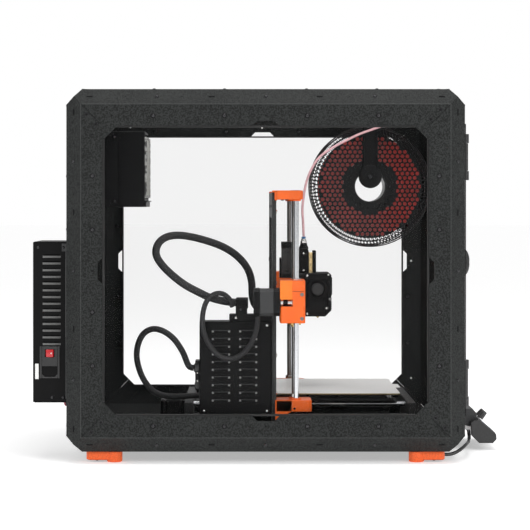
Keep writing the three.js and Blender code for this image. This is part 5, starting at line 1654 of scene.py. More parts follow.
@dataclass(frozen=True)
class Spool:
    """The spool: two perforated flanges on a drum, with filament wound on it.

    Args:
        pitch: From one hole to the next.
        hole: Radius of a hole.
        pin: Radius of a small hole near the hub.
        drum: Radius of the drum under the filament.
        bands: Radius, count and hole radius of the open rings outside the filament.
        wound: Radius that the filament reaches.
    """

    pitch: float = 8.6
    hole: float = 3.3
    pin: float = 1.7
    drum: float = 46.0
    wound: float = 88.0
    bands: tuple[tuple[float, int, float], ...] = ((91.6, 84, 3.05), (97.8, 108, 2.55))

    def holes(self, outer: float, inner: float) -> list[tuple[float, float, float]]:
        """Centres and radii of the flange's holes, packed in a six-sided pattern.

        A row's middle is shifted by half a pitch from the last one, and rows are 0.866 pitches apart.
        """
        found = []
        reach = int(outer / self.pitch) + 2
        for row in range(-reach, reach + 1):
            for column in range(-reach, reach + 1):
                u = (column + 0.5 * (row % 2)) * self.pitch
                v = row * self.pitch * 0.866
                r = math.hypot(u, v)
                if self.drum < r < self.wound - 1.5:
                    found.append((u, v, self.hole))
                elif inner + 5.5 < r < self.drum - 3.0:
                    found.append((u, v, self.pin))
        for radius, count, size in self.bands:
            for k in range(count):
                a = 2 * math.pi * (k + 0.5 * (size < 2.7)) / count
                found.append((radius * math.cos(a), radius * math.sin(a), size))
        return found

    def flange(self, name: str, x0: float, x1: float, centre: tuple[float, float], outer: float, inner: float, looks: Palette) -> None:
        """One flange, cut from a flat outline with its holes and given its thickness.

        Args:
            name: The piece's name.
            x0: Its side towards the camera.
            x1: Its other side.
            centre: Its middle as (y, z).
            outer: Its radius.
            inner: The bore's radius.
            looks: The palette.
        """
        bm = bmesh.new()

        def circle(u: float, v: float, radius: float, steps: int) -> None:
            angle = np.linspace(0, 2 * math.pi, steps, endpoint=False)
            ring = [bm.verts.new((x1, centre[0] + u + radius * math.cos(a), centre[1] + v + radius * math.sin(a))) for a in angle]
            for i, vert in enumerate(ring):
                bm.edges.new((vert, ring[(i + 1) % steps]))

        circle(0, 0, outer - 3.4, 120)
        circle(0, 0, inner, 64)
        for u, v, radius in self.holes(outer, inner):
            circle(u, v, radius, 10)
        bmesh.ops.triangle_fill(bm, use_beauty=True, edges=bm.edges[:])
        faces = [f for f in bm.faces]
        made = bmesh.ops.extrude_face_region(bm, geom=faces)
        moved = [e for e in made["geom"] if isinstance(e, bmesh.types.BMVert)]
        bmesh.ops.translate(bm, verts=moved, vec=(x0 - x1, 0, 0))
        bmesh.ops.recalc_face_normals(bm, faces=bm.faces)
        bm.verts.index_update()
        verts = np.array([v.co[:] for v in bm.verts])
        shape = Shape().add(verts, [tuple(v.index for v in f.verts) for f in bm.faces], 0)
        bm.free()
        mid = (x0 + x1) / 2
        for radius, gauge in ((outer - 1.0, 1.0), (outer - 3.6, 0.9), (inner + 1.0, 1.3), (inner + 7.5, 0.7)):
            angle = np.linspace(0, 2 * math.pi, 8, endpoint=False)
            profile = [(gauge * 1.2 * math.sin(a), radius + gauge * math.cos(a)) for a in angle]
            shape.lathe((mid, *centre), (1, 0, 0), profile, 120, 0, closed=True)
        for k in range(60):
            a = 2 * math.pi * k / 60
            c, s = math.cos(a), math.sin(a)
            start = (mid, centre[0] + (outer - 3.6) * c, centre[1] + (outer - 3.6) * s)
            end = (mid, centre[0] + (outer - 1.0) * c, centre[1] + (outer - 1.0) * s)
            shape.rod(start, end, 0.55, 6, 0.1)
        shape.build(name, [looks.spool], Body.SPOOL, ("filament_spool",), "spool_plastic", 30.0)

    def build(self, looks: Palette) -> None:
        """Makes the flanges, the drum and the wound filament."""
        low, high = span("filament_spool")
        centre = ((low[1] + high[1]) / 2, (low[2] + high[2]) / 2)
        outer = (high[2] - low[2]) / 2
        inner = 26.0
        thick = 2.4
        self.flange("spool_flange_near", low[0], low[0] + thick, centre, outer, inner, looks)
        self.flange("spool_flange_far", high[0] - thick, high[0], centre, outer, inner, looks)
        drum = Shape()
        width = high[0] - low[0]
        for inside, outside in ((inner, inner + 1.8), (self.drum - 1.8, self.drum)):
            profile = [(0.2, inside), (0.2, outside), (width - 0.2, outside), (width - 0.2, inside)]
            drum.lathe((low[0], *centre), (1, 0, 0), profile, 96, closed=True)
        drum.build("spool_drum", [looks.spool], Body.SPOOL, ("filament_spool",), "spool_plastic")
        wound = Shape()
        strand = 1.75
        inside = width - 2 * thick - 1.0
        count = int(inside / strand)
        steps = np.linspace(0, count * 2 * math.pi, count * 6 + 1)
        along = thick + 0.5 + steps / (2 * math.pi) * strand
        radius = self.wound - 0.9 * (0.5 - 0.5 * np.cos(steps)) - 0.9 * np.sin(along / inside * math.pi * 3) ** 2
        profile = [(thick + 0.5, self.drum + 0.3)] + list(zip(along, radius)) + [(along[-1], self.drum + 0.3)]
        wound.lathe((low[0], *centre), (1, 0, 0), profile, 96, closed=True)
        wound.build("wound_filament", [looks.filament], Body.SPOOL, ("filament_spool",), "spool_plastic", 50.0)


@dataclass(frozen=True)
class SpoolHolder:
    """The arm that hangs from the ceiling, with its disc and axle."""

    disc: float = 20.0
    axle: float = 8.6
    arm: float = 23.0

    def build(self, looks: Palette) -> None:
        """Makes the arm with side ribs, the disc, the axle and the foot's screws."""
        low, high = span("spool_holder")
        spool_low, spool_high = span("filament_spool")
        y = (low[1] + high[1]) / 2
        x0 = spool_low[0] - 9.0
        z = low[2] + self.disc
        shape = Shape()
        a = self.arm / 2
        shape.box((x0 + 1.2, y - a, z), (x0 + 5.0, y + a, high[2] - 3), 0.8)
        for s in (-1, 1):
            shape.box((x0, y + s * a - 1.6, z + 12), (x0 + 4.8, y + s * a + 1.6 - 1.6 * s * 0, high[2] - 3.4), 0.6)
        shape.box((low[0], low[1], high[2] - 4), (high[0] if high[0] < spool_low[0] else x0 + 35, high[1], high[2]), 0.9)
        shape.lathe((x0, y, z), (1, 0, 0), [(0, self.disc - 1.2), (0.8, self.disc), (4.4, self.disc), (5.0, self.disc - 0.7)], 56)
        shape.rod((x0 + 4.0, y, z), (spool_high[0] + 3.6, y, z), self.axle, 36, 0.8)
        for dx in (6.0, 52.0):
            for s in (-1, 1):
                shape.screw((low[0] + dx, y + s * (a + 1.5), high[2] - 4), (0, 0, -1), 2.8, 1.6, 1)
        shape.screw((x0 + 0.2, y, z), (-1, 0, 0), 4.2, 2.0, 1)
        shape.build("spool_arm", [looks.printed_black, looks.dark_screw], Body.ENCLOSURE, ("spool_holder",), "black_plastic")


@dataclass(frozen=True)
class DisplayUnit:
    """The tilted menu unit on the front sill, with its screen and knob."""

    flutes: int = 12

    @staticmethod
    def tilted(local: Iterable[Point], base: tuple[float, float], angle: float) -> np.ndarray:
        """Turns points on the face, as (x, along, out), to the enclosure's frame.

        Y is base + along cos angle - out sin angle, and Z is base + along sin angle + out cos angle.
        """
        p = np.asarray(list(local), float)
        c, s = math.cos(angle), math.sin(angle)
        return np.column_stack([p[:, 0], base[0] + p[:, 1] * c - p[:, 2] * s, base[1] + p[:, 1] * s + p[:, 2] * c])

    def build(self, looks: Palette) -> None:
        """Makes the bracket, the housing, the screen and the knob."""
        front = -304.5
        top, low_edge = (front - 38, 50.5), (front - 67.4, 25.3)
        angle = math.atan2(top[1] - low_edge[1], top[0] - low_edge[0])
        base = ((top[0] + low_edge[0]) / 2, (top[1] + low_edge[1]) / 2)
        half = 75.0
        shape = Shape()
        outline = [(front - 38, 50.5), (front - 26, 44.5), (front - 27.4, 23.5), (front - 40, 11), (front - 62, 11), (front - 68, 17.3), (front - 67.4, 25.3)]
        shape.prism(Axis.X, outline, -half, half, 0, 1.2)
        shape.prism(Axis.X, [(front - 0.3, 65), (front - 31, 65), (front - 38, 57), (front - 38, 40), (front - 26, 36), (front - 0.3, 44)], -60, 60, 1, 0.9)
        for x in (-48.0, 48.0):
            shape.screw((x, front - 16, 65), (0, 0, 1), 3.2, 1.6, 2)
            shape.box((x - 9, front - 1.2, 46), (x + 9, front - 0.3, 63), 0.3, 1)

        def slab(x0: float, x1: float, v0: float, v1: float, rise: float, slot: int, sink: float = -0.3, draw: float = 0.5) -> None:
            rim = [(x0, v0, sink), (x1, v0, sink), (x1, v1, sink), (x0, v1, sink)]
            cap = [(x0 + draw, v0 + draw, rise), (x1 - draw, v0 + draw, rise), (x1 - draw, v1 - draw, rise), (x0 + draw, v1 - draw, rise)]
            verts = self.tilted(rim + cap, base, angle)
            shape.add(verts, outward(verts, [(0, 1, 2, 3), (4, 5, 6, 7), (0, 1, 5, 4), (1, 2, 6, 5), (2, 3, 7, 6), (3, 0, 4, 7)]), slot)

        reach = math.hypot(top[0] - low_edge[0], top[1] - low_edge[1]) / 2
        slab(-half + 2, half - 2, -reach + 1.5, reach - 1.5, 0.7, 1)
        slab(-62, 26, -reach + 5, reach - 5, 1.0, 3)
        slab(-58, 22, -reach + 7.5, reach - 7.5, 1.15, 4)
        slab(58, 66, -9, -3, 1.3, 2, draw=1.0)
        shape.build("menu_unit", [looks.satin, looks.bracket, looks.dark_screw, looks.black, looks.glass], Body.ENCLOSURE, ("display_housing",), "black_plastic")
        normal = (0.0, -math.sin(angle), math.cos(angle))
        centre = np.array([50.0, base[0], base[1]])
        repaint("encoder_shaft", looks.steel)
        knob = Shape()
        out = np.array(normal)
        side = np.array([1.0, 0.0, 0.0])
        across = np.cross(out, side)
        steps = self.flutes * 6
        a = np.linspace(0, 2 * math.pi, steps, endpoint=False)
        wave = 0.55 * np.cos(a * self.flutes)
        levels = ((2.25, 6.9, 0.2), (2.7, 7.4, 0.6), (9.0, 6.7, 0.9), (15.0, 6.2, 0.9), (16.1, 5.4, 0.4), (16.2, 4.6, 0.0))
        rows = [centre + out * h + ((r + wave * k)[:, None]) * (np.cos(a)[:, None] * side + np.sin(a)[:, None] * across) for h, r, k in [(h, r, k) for h, r, k in levels]]
        verts = np.vstack(rows)
        i = np.arange(steps)
        j = (i + 1) % steps
        faces: list[tuple[int, ...]] = []
        for k in range(len(levels) - 1):
            faces.extend(map(tuple, np.column_stack([i + k * steps, j + k * steps, j + (k + 1) * steps, i + (k + 1) * steps])))
        faces += [tuple(range(steps))[::-1], tuple(range((len(levels) - 1) * steps, len(levels) * steps))]
        knob.add(verts, faces, 0)
        knob.build("menu_dial", [looks.satin], Body.MENU_KNOB, ("display_knob",), "black_plastic")


# ---------------------------------------------------------------- printer


@dataclass(frozen=True)
class GateFrame:
    """The flat gate plate, repainted, with the screws and rubber plugs that it carries."""

    leg: float = 36.0

    def build(self, looks: Palette) -> None:
        """Repaints the plate and adds its fasteners."""
        repaint("gate_frame", looks.gate)
        low, high = span("gate_frame")
        shape = Shape()
        for sx in (-1, 1):
            x = sx * (high[0] - self.leg / 2)
            for z in (low[2] + 60, low[2] + 118, low[2] + 230, high[2] - 30):
                shape.screw((x + sx * 8, low[1], z), (0, -1, 0), 3.0, 1.6, 0)
            for z in (150.0, 300.0):
                shape.lathe((x - sx * 4, high[1], z), (0, 1, 0), [(0, 4.0), (0.5, 3.8), (0.8, 2.6)], 20, 1)
        for x in (-120.0, -60.0, 60.0, 120.0):
            shape.screw((x, low[1], high[2] - 14), (0, -1, 0), 2.8, 1.5, 0)
            shape.lathe((x, high[1], high[2] - 22), (0, 1, 0), [(0, 3.2), (0.5, 3.0), (0.8, 2.0)], 18, 1)
        shape.build("gate_fasteners", [looks.bright, looks.rubber], Body.ENCLOSURE, (), "coated_steel")


@dataclass(frozen=True)
class BaseFrame:
    """The end plates, side beams, guide rods, feet, belt and motor of the moving bed's frame.

    Args:
        beam: Width of a beam.
        beam_x: Its middle.
        slot: Width of the groove along a beam.
    """

    beam: float = 30.0
    beam_x: float = 113.0
    slot: float = 8.0

    def build(self, looks: Palette) -> None:
        """Makes the frame."""
        low, high = span("base_frame")
        z0, z1 = 32.0, 82.0
        y0, y1 = low[1], low[1] + 365.0
        shape = Shape()
        for a, b, face in ((y0, y0 + 13, y0), (y1 - 13, y1, y1)):
            shape.box((-134, a, z0), (134, b, z1), 1.0, 0)
            out = -1 if face == y0 else 1
            for x in (-124.0, -102.0, 102.0, 124.0):
                shape.screw((x, face, 47.0), (0, out, 0), 3.2, 1.8, 3)
            for x in (-70.0, 70.0):
                shape.box((x - 13, face - 2 if out < 0 else face - 1, 62), (x + 13, face + 1 if out < 0 else face + 2, 80.5), 1.2, 1)
                shape.rod((x, face + out * 2.2, 74), (x, face - out * 2, 74), 4.0, 20, 0.5, 2)
        gate_low, gate_high = span("gate_frame")
        core, wall = self.beam / 2 - 4.5, self.beam / 2
        for s in (-1, 1):
            x = s * self.beam_x
            zc = z0 + wall
            for a, b in ((y0 + 12, gate_low[1] - 0.4), (gate_high[1] + 0.4, y1 - 12)):
                shape.box((x - core, a, zc - core), (x + core, b, zc + core), 0.4, 1)
                for u in (-1, 1):
                    for v in (-1, 1):
                        shape.box((x + u * wall, a, zc + v * self.slot / 2), (x + u * (wall - 2.4), b, zc + v * wall), 0.5, 0)
                        shape.box((x + u * self.slot / 2, a, zc + v * wall), (x + u * wall, b, zc + v * (wall - 2.4)), 0.5, 0)
            shape.rod((x, y0 + 12, zc), (x, y0 + 12.5, zc), 3.0, 12, 0.1, 1)
            for y in (y0 + 22, y1 - 22):
                shape.lathe((x, y, low[2]), (0, 0, 1), [(0.8, 9.5), (0, 10.5), (0, 12.2), (1.2, 13.0), (6.0, 12.6), (z0 - low[2] + 0.4, 11.0)], 28, 4)
            shape.rod((s * 70, y0 + 3, 74), (s * 70, y1 - 3, 74), 4.0, 28, 0.4, 2)
        motor_low, motor_high = (-21.1, y1 - 0.5, 36.0), (21.1, high[1], 76.0)
        shape.box(motor_low, (motor_high[0], motor_low[1] + 9, motor_high[2]), 2.6, 5)
        shape.box((-20.6, motor_low[1] + 9, 36.5), (20.6, motor_high[1] - 8, 75.5), 3.2, 1)
        shape.box((-21.1, motor_high[1] - 8.2, 36.0), motor_high, 2.6, 5)
        for sx in (-1, 1):
            for sz in (-1, 1):
                shape.screw((sx * 15.5, motor_high[1] - 0.02, 56 + sz * 15.5), (0, 1, 0), 2.4, 0.02 + 0.6, 3)
        belt_z = 56.0
        for dz in (-5.6, 5.6):
            shape.box((-3.1, y0 + 24, belt_z + dz - 0.5), (3.1, gate_low[1] - 0.5, belt_z + dz + 0.5), 0.2, 4)
            shape.box((-3.1, gate_high[1] + 0.5, belt_z + dz - 0.5), (3.1, y1 - 20, belt_z + dz + 0.5), 0.2, 4)
        for y, toward in ((y0 + 24, 1), (y1 - 20, -1)):
            shape.lathe((-5, y, belt_z), (1, 0, 0), [(0, 7.2), (1.2, 7.2), (1.6, 5.6), (8.4, 5.6), (8.8, 7.2), (10, 7.2)], 28, 3)
            shape.box((-8.5, y - 9 * toward if toward > 0 else y + 8, belt_z - 9), (-6.0, y + 8, belt_z + 9), 0.8, 1)
            shape.box((6.0, y - 10, belt_z - 9), (8.5, y + 8, belt_z + 9), 0.8, 1)
            shape.rod((-9, y, belt_z), (9, y, belt_z), 1.6, 12, 0.2, 3)
        shape.build("bed_frame", [looks.gate, looks.inner, looks.chrome, looks.dark_screw, looks.rubber, looks.black], Body.ENCLOSURE, ("base_frame",), "black_plastic")


@dataclass(frozen=True)
class Bed:
    """The carriage, the heater plate and the spring-steel sheet.

    Args:
        sheet: Thickness of the sheet.
        magnet: Thickness of the layer under it.
    """

    sheet: float = 0.8
    magnet: float = 1.0

    def carriage(self, looks: Palette) -> None:
        """A ribbed cross plate with windows, four bearings and their clamps."""
        low, high = span("bed_carriage")
        plate = 87.0
        c = (low[1] + high[1]) / 2
        shape = Shape()
        for x0, x1, y0, y1 in ((-110, 110, c - 112, c - 94), (-110, 110, c - 38, c + 38), (-110, 110, c + 94, c + 112), (-110, -32, c - 94.3, c - 37.7), (32, 110, c - 94.3, c - 37.7), (-110, -32, c + 37.7, c + 94.3), (32, 110, c + 37.7, c + 94.3)):
            shape.box((x0, y0, plate - 4 + 0.02 * (x0 % 3)), (x1, y1, plate - 0.02 * (x0 % 3)), 0.35, 0)
        for s in (-1, 1):
            for t in (-1, 1):
                x, y = s * 70.0, c + t * 24.0
                shape.box((x - 12, y - 12, 77.5), (x + 12, y + 12, plate - 3.6), 0.9, 1)
                shape.lathe((x, y - 12, 74), (0, 1, 0), [(0, 4.4), (0, 7.5), (24, 7.5), (24, 4.4)], 28, 2, closed=True)
                shape.screw((x - 9.3, y, plate), (0, 0, 1), 2.4, 1.5, 3)
                shape.screw((x + 9.3, y, plate), (0, 0, 1), 2.4, 1.5, 3)
                shape.rod((s * 102, c + t * 104, plate - 0.5), (s * 102, c + t * 104, high[2]), 4.0, 20, 0.5, 3)
                for w in np.linspace(0.8, 5.0, 4):
                    shape.ring((s * 102, c + t * 104, plate + w - 0.3), (0, 0, 1), 4.4, 3.6, 0.7, 16, 2)
        shape.box((-14, c - 6, 66.5), (14, c + 6, plate - 3.7), 1.0, 1)
        shape.build("carriage_plate", [looks.gate, looks.black, looks.bright, looks.dark_screw], Body.BED, ("bed_carriage",), "bed_black")

    def plate(self, looks: Palette) -> None:
        """The heater board, the magnet layer, the sheet with its front tab, and the board's leads."""
        low, high = span("heatbed")
        top = high[2]
        y0, y1 = low[1] + 8, high[1]
        board = Shape()
        split = top - self.sheet - self.magnet
        board.box((low[0], y0, low[2]), (high[0], y1, split), 0.3, 0)
        board.box((low[0] + 0.1, y0 + 0.1, split - 0.3), (high[0] - 0.1, y1 - 0.1, split + self.magnet), 0.1, 1)
        for sx in (-1, 1):
            for k in range(3):
                y = y0 + 16 + k * (y1 - y0 - 32) / 2
                board.lathe((sx * 104, y, low[2]), (0, 0, -1), [(0, 4.5), (0.25, 4.5), (0.3, 3.0)], 16, 2)
        board.box((-30, y1 - 15, low[2] - 0.28), (30, y1 - 3, low[2] + 0.1), 0.1, 2)
        board.build("heater_plate", [looks.board, looks.sheet_edge, looks.bright], Body.BED, ("heatbed",), "bed_black")
        sheet = Shape()
        s0 = top - self.sheet
        r = 4.0
        a = np.linspace(0, math.pi / 2, 5)

        def corner(x: float, y: float, start: float) -> list[tuple[float, float]]:
            return [(x + r * math.cos(start + t), y + r * math.sin(start + t)) for t in a]

        outline = corner(high[0] - r, y1 - r, 0) + corner(low[0] + r, y1 - r, math.pi / 2) + corner(low[0] + r, y0 + r, math.pi) + corner(high[0] - r, y0 + r, 1.5 * math.pi)
        sheet.prism(Axis.Z, outline, s0, top, 0, 0.12)
        sheet.prism(Axis.Z, [(-30, y0 + 1), (-26, low[1]), (26, low[1]), (30, y0 + 1)], s0 + 0.01, top - 0.01, 0, 0.12)
        sheet.build("spring_sheet", [looks.sheet], Body.BED, ("heatbed",), "bed_surface")

    def build(self, looks: Palette) -> None:
        """Makes the whole bed."""
        self.carriage(looks)
        self.plate(looks)


@dataclass(frozen=True)
class LiftAxis:
    """Rods, screws, top holders and bottom seats of one side of the lifting axis.

    Args:
        side: left or right.
        lead: What one turn of the screw lifts.
    """

    side: str
    body: Body
    lead: float = 8.0

    def screw(self, looks: Palette) -> None:
        """A rolled screw: each ring of the thread is 4 mm times a wave of its height and angle.

        Four starts share the lead, so the radius is 3.75 + 0.25 cos(4 (angle - turns along the lead)).
        """
        low, high = span(f"{self.side}_lead_screw")
        x, y = (low[0] + high[0]) / 2, (low[1] + high[1]) / 2
        sides, step = 24, 0.5
        z = np.arange(low[2] + 0.4, high[2] - 0.4, step)
        a = np.linspace(0, 2 * math.pi, sides, endpoint=False)
        grid_z, grid_a = np.meshgrid(z, a, indexing="ij")
        radius = 3.72 + 0.26 * np.cos(4 * (grid_a - 2 * math.pi * grid_z / self.lead))
        verts = np.stack([x + radius * np.cos(grid_a), y + radius * np.sin(grid_a), grid_z], -1).reshape(-1, 3)
        k, i = np.meshgrid(np.arange(len(z) - 1), np.arange(sides), indexing="ij")
        j = (i + 1) % sides
        quads = np.stack([k * sides + i, k * sides + j, (k + 1) * sides + j, (k + 1) * sides + i], -1).reshape(-1, 4)
        faces = list(map(tuple, quads)) + [tuple(range(sides))[::-1], tuple(range((len(z) - 1) * sides, len(z) * sides))]
        shape = Shape().add(verts, faces)
        shape.build(f"{self.side}_thread", [looks.steel], self.body, (f"{self.side}_lead_screw",), "screw_steel", 60.0)

    def holders(self, looks: Palette) -> None:
        """The printed top holder and the printed bottom seat with its motor."""
        s = -1 if self.side == "left" else 1
        rod_low, rod_high = span(f"{self.side}_z_rod")
        screw_low, screw_high = span(f"{self.side}_lead_screw")
        rod = ((rod_low[0] + rod_high[0]) / 2, (rod_low[1] + rod_high[1]) / 2)
        screw = ((screw_low[0] + screw_high[0]) / 2, (screw_low[1] + screw_high[1]) / 2)
        low, high = span(f"{self.side}_z_top")
        gate_low, gate_high = span("gate_frame")
        top = Shape()
        mid = high[2] - 14.0
        x0, x1 = low[0], high[0]
        y0, y1 = low[1], gate_low[1] - 0.3
        c = 4.0
        top.prism(Axis.Z, [(x0, y0 + c), (x0 + c, y0), (x1 - c, y0), (x1, y0 + c), (x1, y1), (x0, y1)], mid, high[2], 0, 0.9)
        top.box((x0, y1 - 1, gate_high[2] + 0.3), (x1, high[1], high[2]), 0.8, 0)
        edge = (x0, x0 + 7.4) if s < 0 else (x1 - 7.4, x1)
        top.box((edge[0], y1 - 1.5, mid - 1.2), (edge[1], gate_high[1] - 3.6, high[2]), 0.9, 0)
        for centre, radius in ((rod, 7.2), (screw, 7.0)):
            top.ring((*centre, mid - 2.4), (0, 0, 1), radius, 4.4, 2.6, 32, 0)
            top.ring((*centre, high[2] - 0.02), (0, 0, 1), 6.2, 4.4, 0.4, 32, 1)
        for dx in (-14.0, 14.0):
            top.screw(((x0 + x1) / 2 + dx, (y0 + y1) / 2 + 4, mid), (0, 0, -1), 2.6, 1.5, 1)
        top.build(f"{self.side}_rod_holder", [looks.orange, looks.dark_screw], Body.ENCLOSURE, (f"{self.side}_z_top",), "orange_plastic")
        low, high = span(f"{self.side}_z_bottom")
        seat = Shape()
        base, ceiling = 74.0, high[2]
        x0, x1 = (-194.0, -142.0) if s < 0 else (142.0, 194.0)
        y0 = -71.5
        seat.prism(Axis.Z, [(x0, y0 + c), (x0 + c, y0), (x1 - c, y0), (x1, y0 + c), (x1, y1), (x0, y1)], base, ceiling - 2.2, 0, 0.9)
        for centre, radius in ((rod, 7.6), (screw, 8.4)):
            seat.ring((*centre, ceiling - 2.6), (0, 0, 1), radius, 4.4, 2.6, 32, 0)
        wrap = gate_high[1] - 4.6
        leg = [(wrap, ceiling - 2.2), (wrap, base - 13.4), (wrap - 3, base - 13.4), (wrap - 26, base + 0.8), (wrap - 26, ceiling - 2.2)]
        a, b = (x0, x0 + 7.4) if s < 0 else (x1 - 7.4, x1)
        seat.prism(Axis.X, leg, a, b, 0, 0.7)
        seat.rod((a + 0.1 if s < 0 else b - 0.1, -45.0, 79.0), ((a - 0.12) if s < 0 else b + 0.12, -45.0, 79.0), 1.9, 16, 0.05, 1)
        half = 21.1
        mx, my = screw
        for z0, z1, inset, slot in ((base - 9, base + 0.4, 0.0, 2), (base - 32, base - 9, 0.5, 3), (base - 40, base - 32, 0.0, 2)):
            seat.box((mx - half + inset, my - half + inset, z0), (mx + half - inset, my + half - inset, z1), 2.8, slot)
        seat.ring((mx, my, ceiling - 4), (0, 0, 1), 6.4, 4.2, 9.5, 28, 4)
        seat.screw((mx, my - 6.4, ceiling + 3), (0, -1, 0), 1.5, 0.5, 1)
        seat.build(f"{self.side}_screw_seat", [looks.orange, looks.dark_screw, looks.black, looks.inner, looks.bright], Body.ENCLOSURE, (f"{self.side}_z_bottom",), "orange_plastic")

    def build(self, looks: Palette) -> None:
        """Makes this side of the axis."""
        repaint(f"{self.side}_z_rod", looks.chrome)
        self.screw(looks)
        self.holders(looks)


